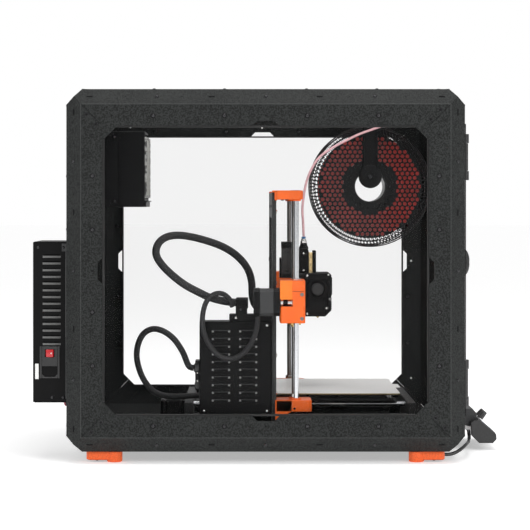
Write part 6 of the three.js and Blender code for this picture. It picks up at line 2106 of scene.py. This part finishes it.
@dataclass(frozen=True)
class Gantry:
    """The two printed ends of the X axis with their bearings, rods, belt and motor."""

    bearing: float = 7.5

    def motor_end(self, looks: Palette) -> None:
        """The end that carries the motor: clamp block, raised belt cover, window with its pulley."""
        low, high = span("x_end_motor")
        z0, z1 = 212.8, 278.0
        y0, y1 = -60.5, -22.0
        rods = [span("left_z_rod"), span("left_lead_screw")]
        (rx, ry), (sx, sy) = [((a[0] + b[0]) / 2, (a[1] + b[1]) / 2) for a, b in rods]
        shape = Shape()
        window = (238.4, 249.0)
        x_face = low[0]
        shape.prism(Axis.Z, [(-154, y0), (-154, y1), (x_face + 3, y1), (x_face, y1 - 2), (x_face, y0 + 3), (x_face + 3, y0)], z0, window[0], 0, 0.8)
        shape.prism(Axis.Z, [(-154, y0), (-154, y1), (x_face + 3, y1), (x_face, y1 - 2), (x_face, y0 + 3), (x_face + 3, y0)], window[1], z1, 0, 0.8)
        shape.box((x_face + 0.05, y0 + 0.05, window[0] - 1), (-154.1, -41.2, window[1] + 1), 0.5, 0)
        shape.box((-191.0, -42.0, window[0] - 1), (-154.2, y1 - 0.1, window[1] + 1), 0.3, 0)
        shape.box((x_face - 0.6, -40.8, 249.1), (x_face + 2, y1 + 0.1, z1 + 0.2), 0.5, 1)
        shape.box((x_face - 0.04, -58.5, 261.2), (x_face + 1, -41.0, 261.8), 0.02, 4)
        shape.box((x_face + 7, -40.5, window[0] + 0.2), (x_face + 9, y1, window[1] - 0.2), 0.2, 2)
        for a, b, radius, slot in ((-41.0, -38.6, 4.9, 3), (-38.6, -33.5, 3.8, 3), (-33.5, -27.0, 4.6, 2), (-27.0, -22.6, 4.9, 3)):
            shape.rod((x_face + 5.6, a, 244.6), (x_face + 5.6, b, 244.6), radius, 28, 0.5, slot)
        for y, z in ((-55.4, 256.8), (-55.4, 219.9)):
            shape.lathe((x_face - 0.05, y, z), (-1, 0, 0), [(-0.6, 2.9), (0.05, 2.9), (0.1, 2.5)], 20, 7)
            shape.screw((x_face - 0.1, y, z), (-1, 0, 0), 1.9, 0.5, 7)
        for z in (z0 - 0.4, z1 - 2.2):
            shape.ring((rx, ry, z), (0, 0, 1), 8.8, 4.4, 2.6, 32, 0)
            shape.ring((sx, sy, z), (0, 0, 1), 7.6, 4.4, 2.6, 32, 0)
        for z in (z0 - 1.6, z1 + 0.2):
            shape.ring((rx, ry, z), (0, 0, 1), self.bearing, 4.3, 1.4, 32, 3)
        shape.ring((sx, sy, z0 - 6.0), (0, 0, 1), 11.0, 4.4, 3.4, 32, 5)
        shape.ring((sx, sy, z0 - 9.0), (0, 0, 1), 5.2, 4.3, 9.0, 28, 5)
        motor_front, motor_rear = y1 + 0.2, high[1]
        mx, mz, half = -208.0, 244.6, 21.1
        for a, b, inset, slot in ((motor_front, motor_front + 9.5, 0.0, 2), (motor_front + 9.5, motor_rear - 9.0, 0.8, 6), (motor_rear - 9.0, motor_rear, 0.0, 2)):
            outline = [(mx - half + inset, mz - half + 5), (mx - half + 5, mz - half + inset), (mx + half - 5, mz - half + inset), (mx + half - inset, mz - half + 5), (mx + half - inset, mz + half - 5), (mx + half - 5, mz + half - inset), (mx - half + 5, mz + half - inset), (mx - half + inset, mz + half - 5)]
            shape.prism(Axis.Y, outline, a, b, slot, 0.5)
        shape.box((mx - 9, motor_rear - 8, mz - half - 1.4), (mx + 9, motor_rear - 1.5, mz - half + 2), 0.5, 4)
        for dx in (-1, 1):
            for dz in (-1, 1):
                shape.screw((mx + dx * 15.5, motor_rear - 0.1, mz + dz * 15.5), (0, 1, 0), 2.6, 0.6, 4)
        shape.build("x_motor_end", [looks.orange, looks.light_orange, looks.black, looks.bright, looks.dark_screw, looks.brass, looks.bracket, looks.steel], Body.GANTRY, ("x_end_motor",), "orange_plastic")

    def idler_end(self, looks: Palette) -> None:
        """The end that carries the idler pulley and the belt's tension screw."""
        low, high = span("x_end_idler")
        rods = [span("right_z_rod"), span("right_lead_screw")]
        (rx, ry), (sx, sy) = [((a[0] + b[0]) / 2, (a[1] + b[1]) / 2) for a, b in rods]
        z0, z1 = low[2], high[2]
        x0, x1, y0, y1 = low[0], high[0], low[1], high[1]
        slot_low, slot_high = 235.6, 253.6
        shape = Shape()
        outline = [(x0, y0), (x1 - 4, y0), (x1, y0 + 4), (x1, y1 - 4), (x1 - 4, y1), (x0, y1)]
        shape.prism(Axis.Z, outline, z0, slot_low, 0, 0.8)
        shape.prism(Axis.Z, outline, slot_high, z1, 0, 0.8)
        shape.box((x0 + 0.1, y0 + 0.1, slot_low - 1), (x1 - 0.1, -41.0, slot_high + 1), 0.5, 0)
        shape.box((x0 + 0.1, -41.5, slot_low - 1), (188.0, y1 - 0.1, slot_high + 1), 0.3, 0)
        shape.box((187.5, -30.0, slot_low - 1), (x1 - 0.1, y1 - 0.1, slot_high + 1), 0.3, 0)
        shape.rod((196, -41, 244.6), (196, -30, 244.6), 2.0, 16, 0.2, 1)
        shape.lathe((196, -39.6, 244.6), (0, 1, 0), [(0, 7.0), (0.9, 7.0), (1.2, 5.6), (6.8, 5.6), (7.1, 7.0), (8.0, 7.0)], 28, 1)
        for z in (z0 - 0.4, z1 - 2.2):
            shape.ring((rx, ry, z), (0, 0, 1), 8.8, 4.4, 2.6, 32, 0)
            shape.ring((sx, sy, z), (0, 0, 1), 7.6, 4.4, 2.6, 32, 0)
        for z in (z0 - 1.6, z1 + 0.2):
            shape.ring((rx, ry, z), (0, 0, 1), self.bearing, 4.3, 1.4, 32, 1)
        shape.ring((sx, sy, z0 - 6.0), (0, 0, 1), 11.0, 4.4, 3.4, 32, 3)
        shape.ring((sx, sy, z0 - 9.0), (0, 0, 1), 5.2, 4.3, 9.0, 28, 3)
        for y, z in ((-55.7, 257.3), (-56.9, 219.0), (-30.0, 266.0), (-30.0, 224.0)):
            shape.screw((x1, y, z), (1, 0, 0), 2.6, 1.2, 2)
        shape.build("x_idler_end", [looks.orange, looks.bright, looks.dark_screw, looks.brass], Body.GANTRY, ("x_end_idler",), "orange_plastic")

    def belt(self, looks: Palette) -> None:
        """The toothed belt's two runs between the ends, with a tooth every 2 mm on the inner side."""
        shape = Shape()
        y0, y1 = -38.4, -32.6
        for z in (239.6, 249.6):
            shape.box((-186.0, y0, z - 0.5), (186.0, y1, z + 0.5), 0.15, 0)
        teeth = Shape()
        x = np.arange(-150.0, 150.0, 2.0)
        for z, inward in ((239.6, 1), (249.6, -1)):
            top = z + inward * 1.1
            quad = np.array([(-0.5, y0, z + inward * 0.4), (0.5, y0, z + inward * 0.4), (0.3, y0, top), (-0.3, y0, top), (-0.5, y1, z + inward * 0.4), (0.5, y1, z + inward * 0.4), (0.3, y1, top), (-0.3, y1, top)])
            verts = (quad[None] + np.column_stack([x, np.zeros_like(x), np.zeros_like(x)])[:, None]).reshape(-1, 3)
            one = np.array([(0, 3, 2, 1), (4, 5, 6, 7), (0, 4, 7, 3), (1, 2, 6, 5), (3, 7, 6, 2)])
            faces = (one[None] + 8 * np.arange(len(x))[:, None, None]).reshape(-1, 4)
            teeth.add(verts, map(tuple, faces), 0)
        shape.build("x_belt", [looks.rubber], Body.GANTRY, (), "cable_black")
        teeth.build("x_belt_teeth", [looks.rubber], Body.GANTRY, (), "cable_black")

    def build(self, looks: Palette) -> None:
        """Makes the whole gantry."""
        for node in ("upper_x_rod", "lower_x_rod"):
            repaint(node, looks.chrome)
        self.motor_end(looks)
        self.idler_end(looks)
        self.belt(looks)


@dataclass(frozen=True)
class PrintHead:
    """The extruder: drive housing, carriage, sensor tower, fans, nozzle and knob."""

    knob: tuple[float, float] = (-86.0, 256.5)

    def housing(self, looks: Palette) -> None:
        """The drive housing with its knob's ring, lug, ribs and cover lines."""
        shape = Shape()
        x0, x1, y0, y1, z0, z1 = -40.0, 36.0, -109.0, -66.0, 212.0, 282.5
        ky, kz = self.knob
        outline = [(y1, z0), (y1, z1), (y0 + 3, z1), (y0, z1 - 3), (y0, z0 + 10), (y0 + 10, z0)]
        shape.prism(Axis.X, outline, x0 + 4.2, x1, 0, 1.0)
        hull = [(y1, z0 + 0.2), (y1, z1 - 0.2), (y0 + 3.2, z1 - 0.2), (y0 + 0.2, z1 - 3.2), (y0 + 0.2, z0 + 10), (y0 + 10, z0 + 0.2)]
        for a, b, c, d in ((y0 + 0.3, ky - 15.9, z0 + 9, z1 - 3), (ky + 15.9, y1 - 0.2, z0 + 0.6, z1 - 0.6), (ky - 16.2, ky + 16.2, kz + 15.6, z1 - 0.6), (ky - 12.0, ky + 16.2, z0 + 0.6, kz - 15.6)):
            shape.box((x0, a, c), (x0 + 4.8, b, d), 0.7, 0)
        del hull
        shape.ring((x0 + 4.4, ky, kz), (-1, 0, 0), 17.0, 13.5, 5.9, 64, 0)
        shape.ring((x0 + 4.4, ky, kz), (-1, 0, 0), 13.6, 2.9, 0.6, 48, 0)
        shape.rod((x0 + 4.6, ky, kz), (x0 - 0.8, ky, kz), 2.5, 16, 0.3, 3)
        shape.ring((x0 + 2.5, y0 + 5.0, z1 - 2.5), (-1, 0, 0), 3.2, 1.5, 3.0, 24, 0)
        shape.lathe((x0 - 0.2, y0 + 5.0, z1 - 2.5), (-1, 0, 0), [(0, 1.5), (0.15, 1.5)], 16, 4)
        shape.ring((x0 + 1.5, y0 + 2.6, 240.8), (-1, 0, 0), 2.9, 1.5, 2.8, 24, 3)
        shape.ring((x0 + 1.5, y0 + 2.6, 240.8), (-1, 0, 0), 1.6, 0.4, 1.6, 16, 2)
        for k in range(4):
            shape.box((x0 + 0.5, y0 - 0.6, 224.5 + k * 3.4), (x0 + 34, y0 + 1.4, 226.2 + k * 3.4), 0.4, 0)
        shape.box((x0 + 8, y0 - 1.4, 246.0), (x1 - 6, y0 + 1.0, 276.0), 1.4, 1)
        for z in np.linspace(249, 273, 9):
            shape.box((x0 + 12, y0 - 1.8, z - 0.7), (x1 - 10, y0 - 0.9, z + 0.7), 0.3, 0)
        for y, z in ((-69.5, z1 - 4.0), (-69.5, 216.5), (y0 + 8, z0 + 14)):
            shape.screw((x0, y, z), (-1, 0, 0), 1.9, 0.9, 2)
        for y, z in ((y0 + 6, z1 - 6), (y1 - 6, z1 - 6), (y1 - 6, z0 + 6)):
            shape.screw((x1, y, z), (1, 0, 0), 2.4, 1.4, 3)
        fan = (x1 - 0.1, -88.0, 247.0)
        shape.ring(fan, (1, 0, 0), 19.5, 17.6, 2.4, 64, 1)
        shape.ring(fan, (1, 0, 0), 6.6, 0.8, 2.0, 32, 1)
        for k in range(7):
            t = 2 * math.pi * k / 7
            route = [(fan[0] + 0.9, fan[1] + r * math.cos(t + 0.05 * r), fan[2] + r * math.sin(t + 0.05 * r)) for r in (6.2, 10.0, 14.0, 17.9)]
            shape.tube(np.array(route), 1.0, 8, 1)
        shape.build("drive_housing", [looks.printed_black, looks.black, looks.bright, looks.dark_screw, looks.white], Body.HEAD, ("extruder",), "black_plastic")

    def tower(self, looks: Palette) -> None:
        """The parts that rise above the housing: sensor tower, neck, fitting, strip and fin."""
        shape = Shape()
        shape.prism(Axis.X, [(-72.8, 281), (-56.2, 281), (-56.2, 319), (-58.4, 322), (-70.6, 322), (-72.8, 319)], -14, 14, 0, 0.7)
        shape.box((-14.4, -73.2, 282), (14.4, -55.8, 290), 0.8, 0)
        for z in (286.0, 314.0):
            shape.screw((-14, -64.5, z), (-1, 0, 0), 1.9, 0.9, 2)
        shape.lathe((0, -65, 321), (0, 0, 1), [(0, 8.0), (2.0, 8.0), (7.0, 5.6), (10.0, 5.4)], 32, 0)
        shape.lathe((0, -65, 330.4), (0, 0, 1), [(0, 5.0), (0.4, 5.2), (3.2, 5.2), (3.6, 4.5), (6.4, 4.3), (7.0, 3.7)], 6, 2)
        shape.lathe((0, -65, 334.0), (0, 0, 1), [(0, 4.2), (3.8, 4.0), (4.0, 3.4)], 28, 2)
        shape.lathe((0, -65, 337.6), (0, 0, 1), [(0, 3.0), (1.6, 3.0), (1.8, 3.7), (3.4, 3.7), (3.6, 3.2)], 28, 5)
        shape.box((-16, -79.0, 281.8), (8, -73.1, 315.6), 0.5, 3)
        for z in np.arange(286.0, 314.0, 2.4):
            shape.box((-16.4, -78.4, z - 0.35), (-15.4, -73.8, z + 0.35), 0.1, 4)
        shape.box((-18, -84.8, 281.8), (12, -79.2, 318.8), 0.9, 1)
        shape.box((-18.6, -84.2, 306), (-17.4, -79.8, 316), 0.3, 0)
        shape.build("sensor_tower", [looks.printed_black, looks.black, looks.bright, looks.gold_strip, looks.brass, looks.blue], Body.HEAD, ("extruder",), "black_plastic")

    def carriage(self, looks: Palette) -> None:
        """The carriage on the rods, with bearings, the yoke and the rear box that the cable enters."""
        shape = Shape()
        shape.box((-34, -67, 213), (30, -45.4, 281.3), 1.2, 0)
        for z in (223.0, 268.0):
            for x in (-36.0, 20.0):
                shape.lathe((x, -53.5, z), (1, 0, 0), [(0, 4.4), (0, 7.6), (14, 7.6), (14, 4.4)], 28, 2, closed=True)
        shape.box((-32, -67, 274.6), (14, -28.2, 281.9), 0.9, 0)
        shape.prism(Axis.X, [(-45.9, 274.4), (-28.1, 274.4), (-28.1, 331.2), (-29.8, 332.8), (-45.9, 332.8)], -31.9, 13.9, 1, 0.8)
        shape.box((-32.3, -46.0, 322.6), (14.3, -27.9, 333.0), 0.9, 0)
        shape.box((-26.5, -28.4, 274.5), (8.0, -25.0, 307.0), 0.8, 0)
        shape.lathe((-8.6, -45.6, 219.6), (0, 1, 0), [(0, 8.2), (1.8, 8.2), (2.4, 7.2), (7.5, 6.9), (7.6, 6.2)], 32, 0)
        for x, y in ((-34.0, -49.0), (-34.0, -66.0)):
            shape.screw((x + 2.0, y + 1.5, 277.5), (-1, 0, 0), 1.9, 1.4, 2)
        for z in (286.0, 316.0):
            shape.screw((-31.8, -37.0, z), (-1, 0, 0), 1.7, 0.7, 3)
        shape.build("x_carriage", [looks.printed_black, looks.satin, looks.bright, looks.dark_screw], Body.HEAD, ("extruder",), "black_plastic")

    def hot_end(self, looks: Palette) -> None:
        """The nozzle, the heater block and the part-cooling duct."""
        shape = Shape()
        cx, cy = 0.0, -88.0
        shape.lathe((cx, cy, 207.5), (0, 0, 1), [(0, 0.6), (2.4, 2.2), (2.5, 3.6), (5.2, 3.6)], 6, 1)
        shape.lathe((cx, cy, 207.6), (0, 0, 1), [(0, 0.55), (2.6, 2.3), (5.0, 2.5)], 24, 1)
        shape.prism(Axis.X, [(-104, 214), (-96, 211.8), (-94, 211.8), (-98, 220), (-104, 224)], -12, 12, 0, 0.8)
        shape.box((-9, -95, 211.9), (9, -80, 213), 0.5, 2)
        shape.build("hot_end", [looks.printed_black, looks.brass, looks.bright], Body.HEAD, ("extruder",), "black_plastic")

    def dial(self, looks: Palette) -> None:
        """The feed knob: a low twelve-sided disc with a rounded rim."""
        low, high = span("extruder_knob")
        y, z = (low[1] + high[1]) / 2, (low[2] + high[2]) / 2
        depth = high[0] - low[0]
        shape = Shape()
        shape.lathe((high[0], y, z), (-1, 0, 0), [(0, 9.0), (0.6, 9.8), (depth - 1.2, 9.9), (depth - 0.4, 9.4), (depth, 8.3)], 14, 0)
        shape.ring((low[0] + 0.35, y, z), (-1, 0, 0), 7.4, 6.7, 0.3, 40, 1)
        shape.build("feed_dial", [looks.bracket, looks.black], Body.HEAD_KNOB, ("extruder_knob",), "black_plastic", 20.0)

    def build(self, looks: Palette) -> None:
        """Makes the whole head."""
        self.housing(looks)
        self.tower(looks)
        self.carriage(looks)
        self.hot_end(looks)
        self.dial(looks)


@dataclass(frozen=True)
class ElectronicsBox:
    """The louvred metal box behind the gate's left leg, with its cable saddle and plugs.

    Args:
        rows: Louvres in each column.
        pitch: From one row to the next.
        columns: Ends of the two columns along Y.
        top_row: Height of the top row's middle.
    """

    rows: int = 10
    pitch: float = 11.9
    columns: tuple[tuple[float, float], ...] = ((11.0, 42.0), (53.0, 84.5))
    top_row: float = 197.5
    louvre: float = 4.4

    def build(self, looks: Palette) -> None:
        """Makes the box with painted highlights at its louvres, the saddle and the plugs."""
        low, high = span("electronics_box")
        near, far = -184.0, -141.0
        y0, y1 = low[1], 102.0
        z0, z1 = 68.0, 213.0
        e = 1.6
        shape = Shape()
        cuts = [(a, b, self.top_row - k * self.pitch - self.louvre / 2, self.top_row - k * self.pitch + self.louvre / 2) for a, b in self.columns for k in range(self.rows)]
        for plane, facing in ((near, -1), (far, 1)):
            shape.pocketed(Axis.X, plane, facing, (y0 + e, z0 + e), (y1 - e, z1 - e), cuts, 2.2, 3.6, 0, 1, 1.5)
        shape.box((near + 2.6, y0 + 0.2, z0 + 0.2), (far - 2.6, y1 - 0.2, z1 - 0.2), 0.5, 1)
        for x0, x1 in ((near, near + 2.8), (far - 2.8, far)):
            for a, b, c, d in ((y0, y0 + e + 0.05, z0, z1), (y1 - e - 0.05, y1, z0, z1), (y0 + 0.1, y1 - 0.1, z0, z0 + e + 0.05), (y0 + 0.1, y1 - 0.1, z1 - e - 0.05, z1)):
                shape.box((x0, a, c), (x1, b, d), 0.5, 0)
        shape.box((near + 1, y0 + 0.1, z1 - 1.4), (far - 1, y1 - 0.1, z1 - 0.05), 0.4, 0)
        shape.box((near + 1, y1 - 1.4, z0 + 0.1), (far - 1, y1 - 0.05, z1 - 0.1), 0.4, 0)
        for y, z in ((-2.5, 207.0), (-2.5, 74.0), (95.0, 74.0), (95.0, 207.0)):
            shape.screw((near, y, z), (-1, 0, 0), 2.3, 1.2, 2)
            shape.screw((far, y, z), (1, 0, 0), 2.3, 1.2, 2)
        # painted highlights: small light grey wedges at both ends of each louvre stand in for the glints on its slanted
        # ends
        for a, b, c, d in cuts:
            for y, way in ((a, 1), (b, -1)):
                for x, out in ((near, -1), (far, 1)):
                    verts = np.array([(x + out * h, y + way * (1.2 + t), m) for h, t, m in ((0.05, 0.4, c + 0.9), (0.05, 0.4, d - 0.7), (0.9, 2.0, (c + d) / 2), (0.05, 3.4, c + 0.9), (0.05, 3.4, d - 0.7))])
                    shape.add(verts, outward(verts, [(0, 1, 2), (3, 4, 2), (1, 4, 2), (0, 3, 2), (0, 1, 4, 3)]), 3)
            for x, out in ((near, -1), (far, 1)):
                # painted highlight: a thin lighter rod along each louvre's lower lip stands in for the light that the
                # lip catches
                shape.rod((x + out * 0.15, a + 4, (c + d) / 2 + 1.2), (x + out * 0.15, b - 4, (c + d) / 2 + 1.2), 0.5, 8, 0.1, 4)
        shape.build("control_box", [looks.box, looks.inner, looks.bright, looks.glint, looks.bracket], Body.ENCLOSURE, ("electronics_box",), "black_plastic")
        self.saddle(near, looks)
        self.plugs(near, far, y1, looks)

    @staticmethod
    def saddle(near: float, looks: Palette) -> None:
        """The bracket and the clamp that carry the thick cable over the box."""
        shape = Shape()
        shape.box((near + 2, 12, 212.5), (near + 30, 56, 224), 1.0, 0)
        shape.box((near + 2.5, -9.5, 212.6), (near + 22, 12.5, 221.5), 0.8, 0)
        shape.prism(Axis.X, [(28, 223), (28, 235.8), (31, 237.5), (43, 237.5), (46, 235.8), (46, 223)], near + 4, near + 24, 0, 0.8)
        shape.lathe((near + 15, 26.6, 241), (0, 1, 0), [(0, 6.3), (0, 8.4), (2.0, 8.8), (16.0, 8.8), (19.0, 8.2), (19.0, 6.3)], 36, 0, closed=True)
        shape.screw((near + 2, 45.6, 218.5), (-1, 0, 0), 2.1, 1.1, 1)
        shape.screw((near + 3.9, 38.0, 231.0), (-1, 0, 0), 2.1, 1.0, 2)
        shape.screw((near + 6, 14.5, 224), (0, 0, 1), 2.1, 1.0, 2)
        wires = Shape()
        wires.tube(catmull([(near - 2.0, 11.5, 212.0), (near - 2.2, 11.8, 216.0), (near - 1.6, 12.2, 221.5), (near + 2.6, 12.6, 224.4)], 20), 0.9, 8)
        wires.build("sensor_wire", [looks.teal], Body.ENCLOSURE, (), "cable_black")
        shape.build("cable_saddle", [looks.printed_black, looks.bright, looks.dark_screw], Body.ENCLOSURE, (), "black_plastic")

    @staticmethod
    def plugs(near: float, far: float, rear: float, looks: Palette) -> None:
        """The plug block on the box's rear edge and the glands that the cables leave from."""
        shape = Shape()
        shape.box((near + 6, rear - 0.6, 106.2), (far - 8, rear + 6.8, 151.8), 0.8, 0)
        for z in (113.0, 140.0):
            shape.box((near + 5.4, rear + 0.6, z - 5.4), (near + 18, rear + 7.6, z + 5.4), 0.7, 1)
            shape.screw((near + 6, rear + 3.4, z + (7.2 if z < 120 else -7.2)), (-1, 0, 0), 1.5, 0.8, 2)
        shape.lathe((-158, rear + 6.4, 139), (0, 1, 0), [(0, 7.4), (1.4, 7.4), (2.0, 6.2), (2.9, 5.6)], 28, 1)
        shape.build("plug_block", [looks.black, looks.satin, looks.bright], Body.ENCLOSURE, (), "black_plastic")


def main() -> None:
    """Builds the scene: camera and cords first, then each assembly in order."""
    looks = Palette()
    Studio().build()
    CordSet().build(looks)
    enclosure = (EnclosureFrame(), Panels(), Door(), PowerSupply(), AirFilter(), Spool(), SpoolHolder(), DisplayUnit())
    lifts = (LiftAxis("left", Body.LEFT_SCREW), LiftAxis("right", Body.RIGHT_SCREW))
    printer = (GateFrame(), BaseFrame(), Bed(), *lifts, Gantry(), PrintHead(), ElectronicsBox())
    for assembly in enclosure + printer:
        LOG.info("building %s", type(assembly).__name__)
        assembly.build(looks)
    for corner in ("left_front", "left_rear", "right_front", "right_rear"):
        Foot().build(f"{corner}_foot", looks)


if __name__ == "__main__":
    main()
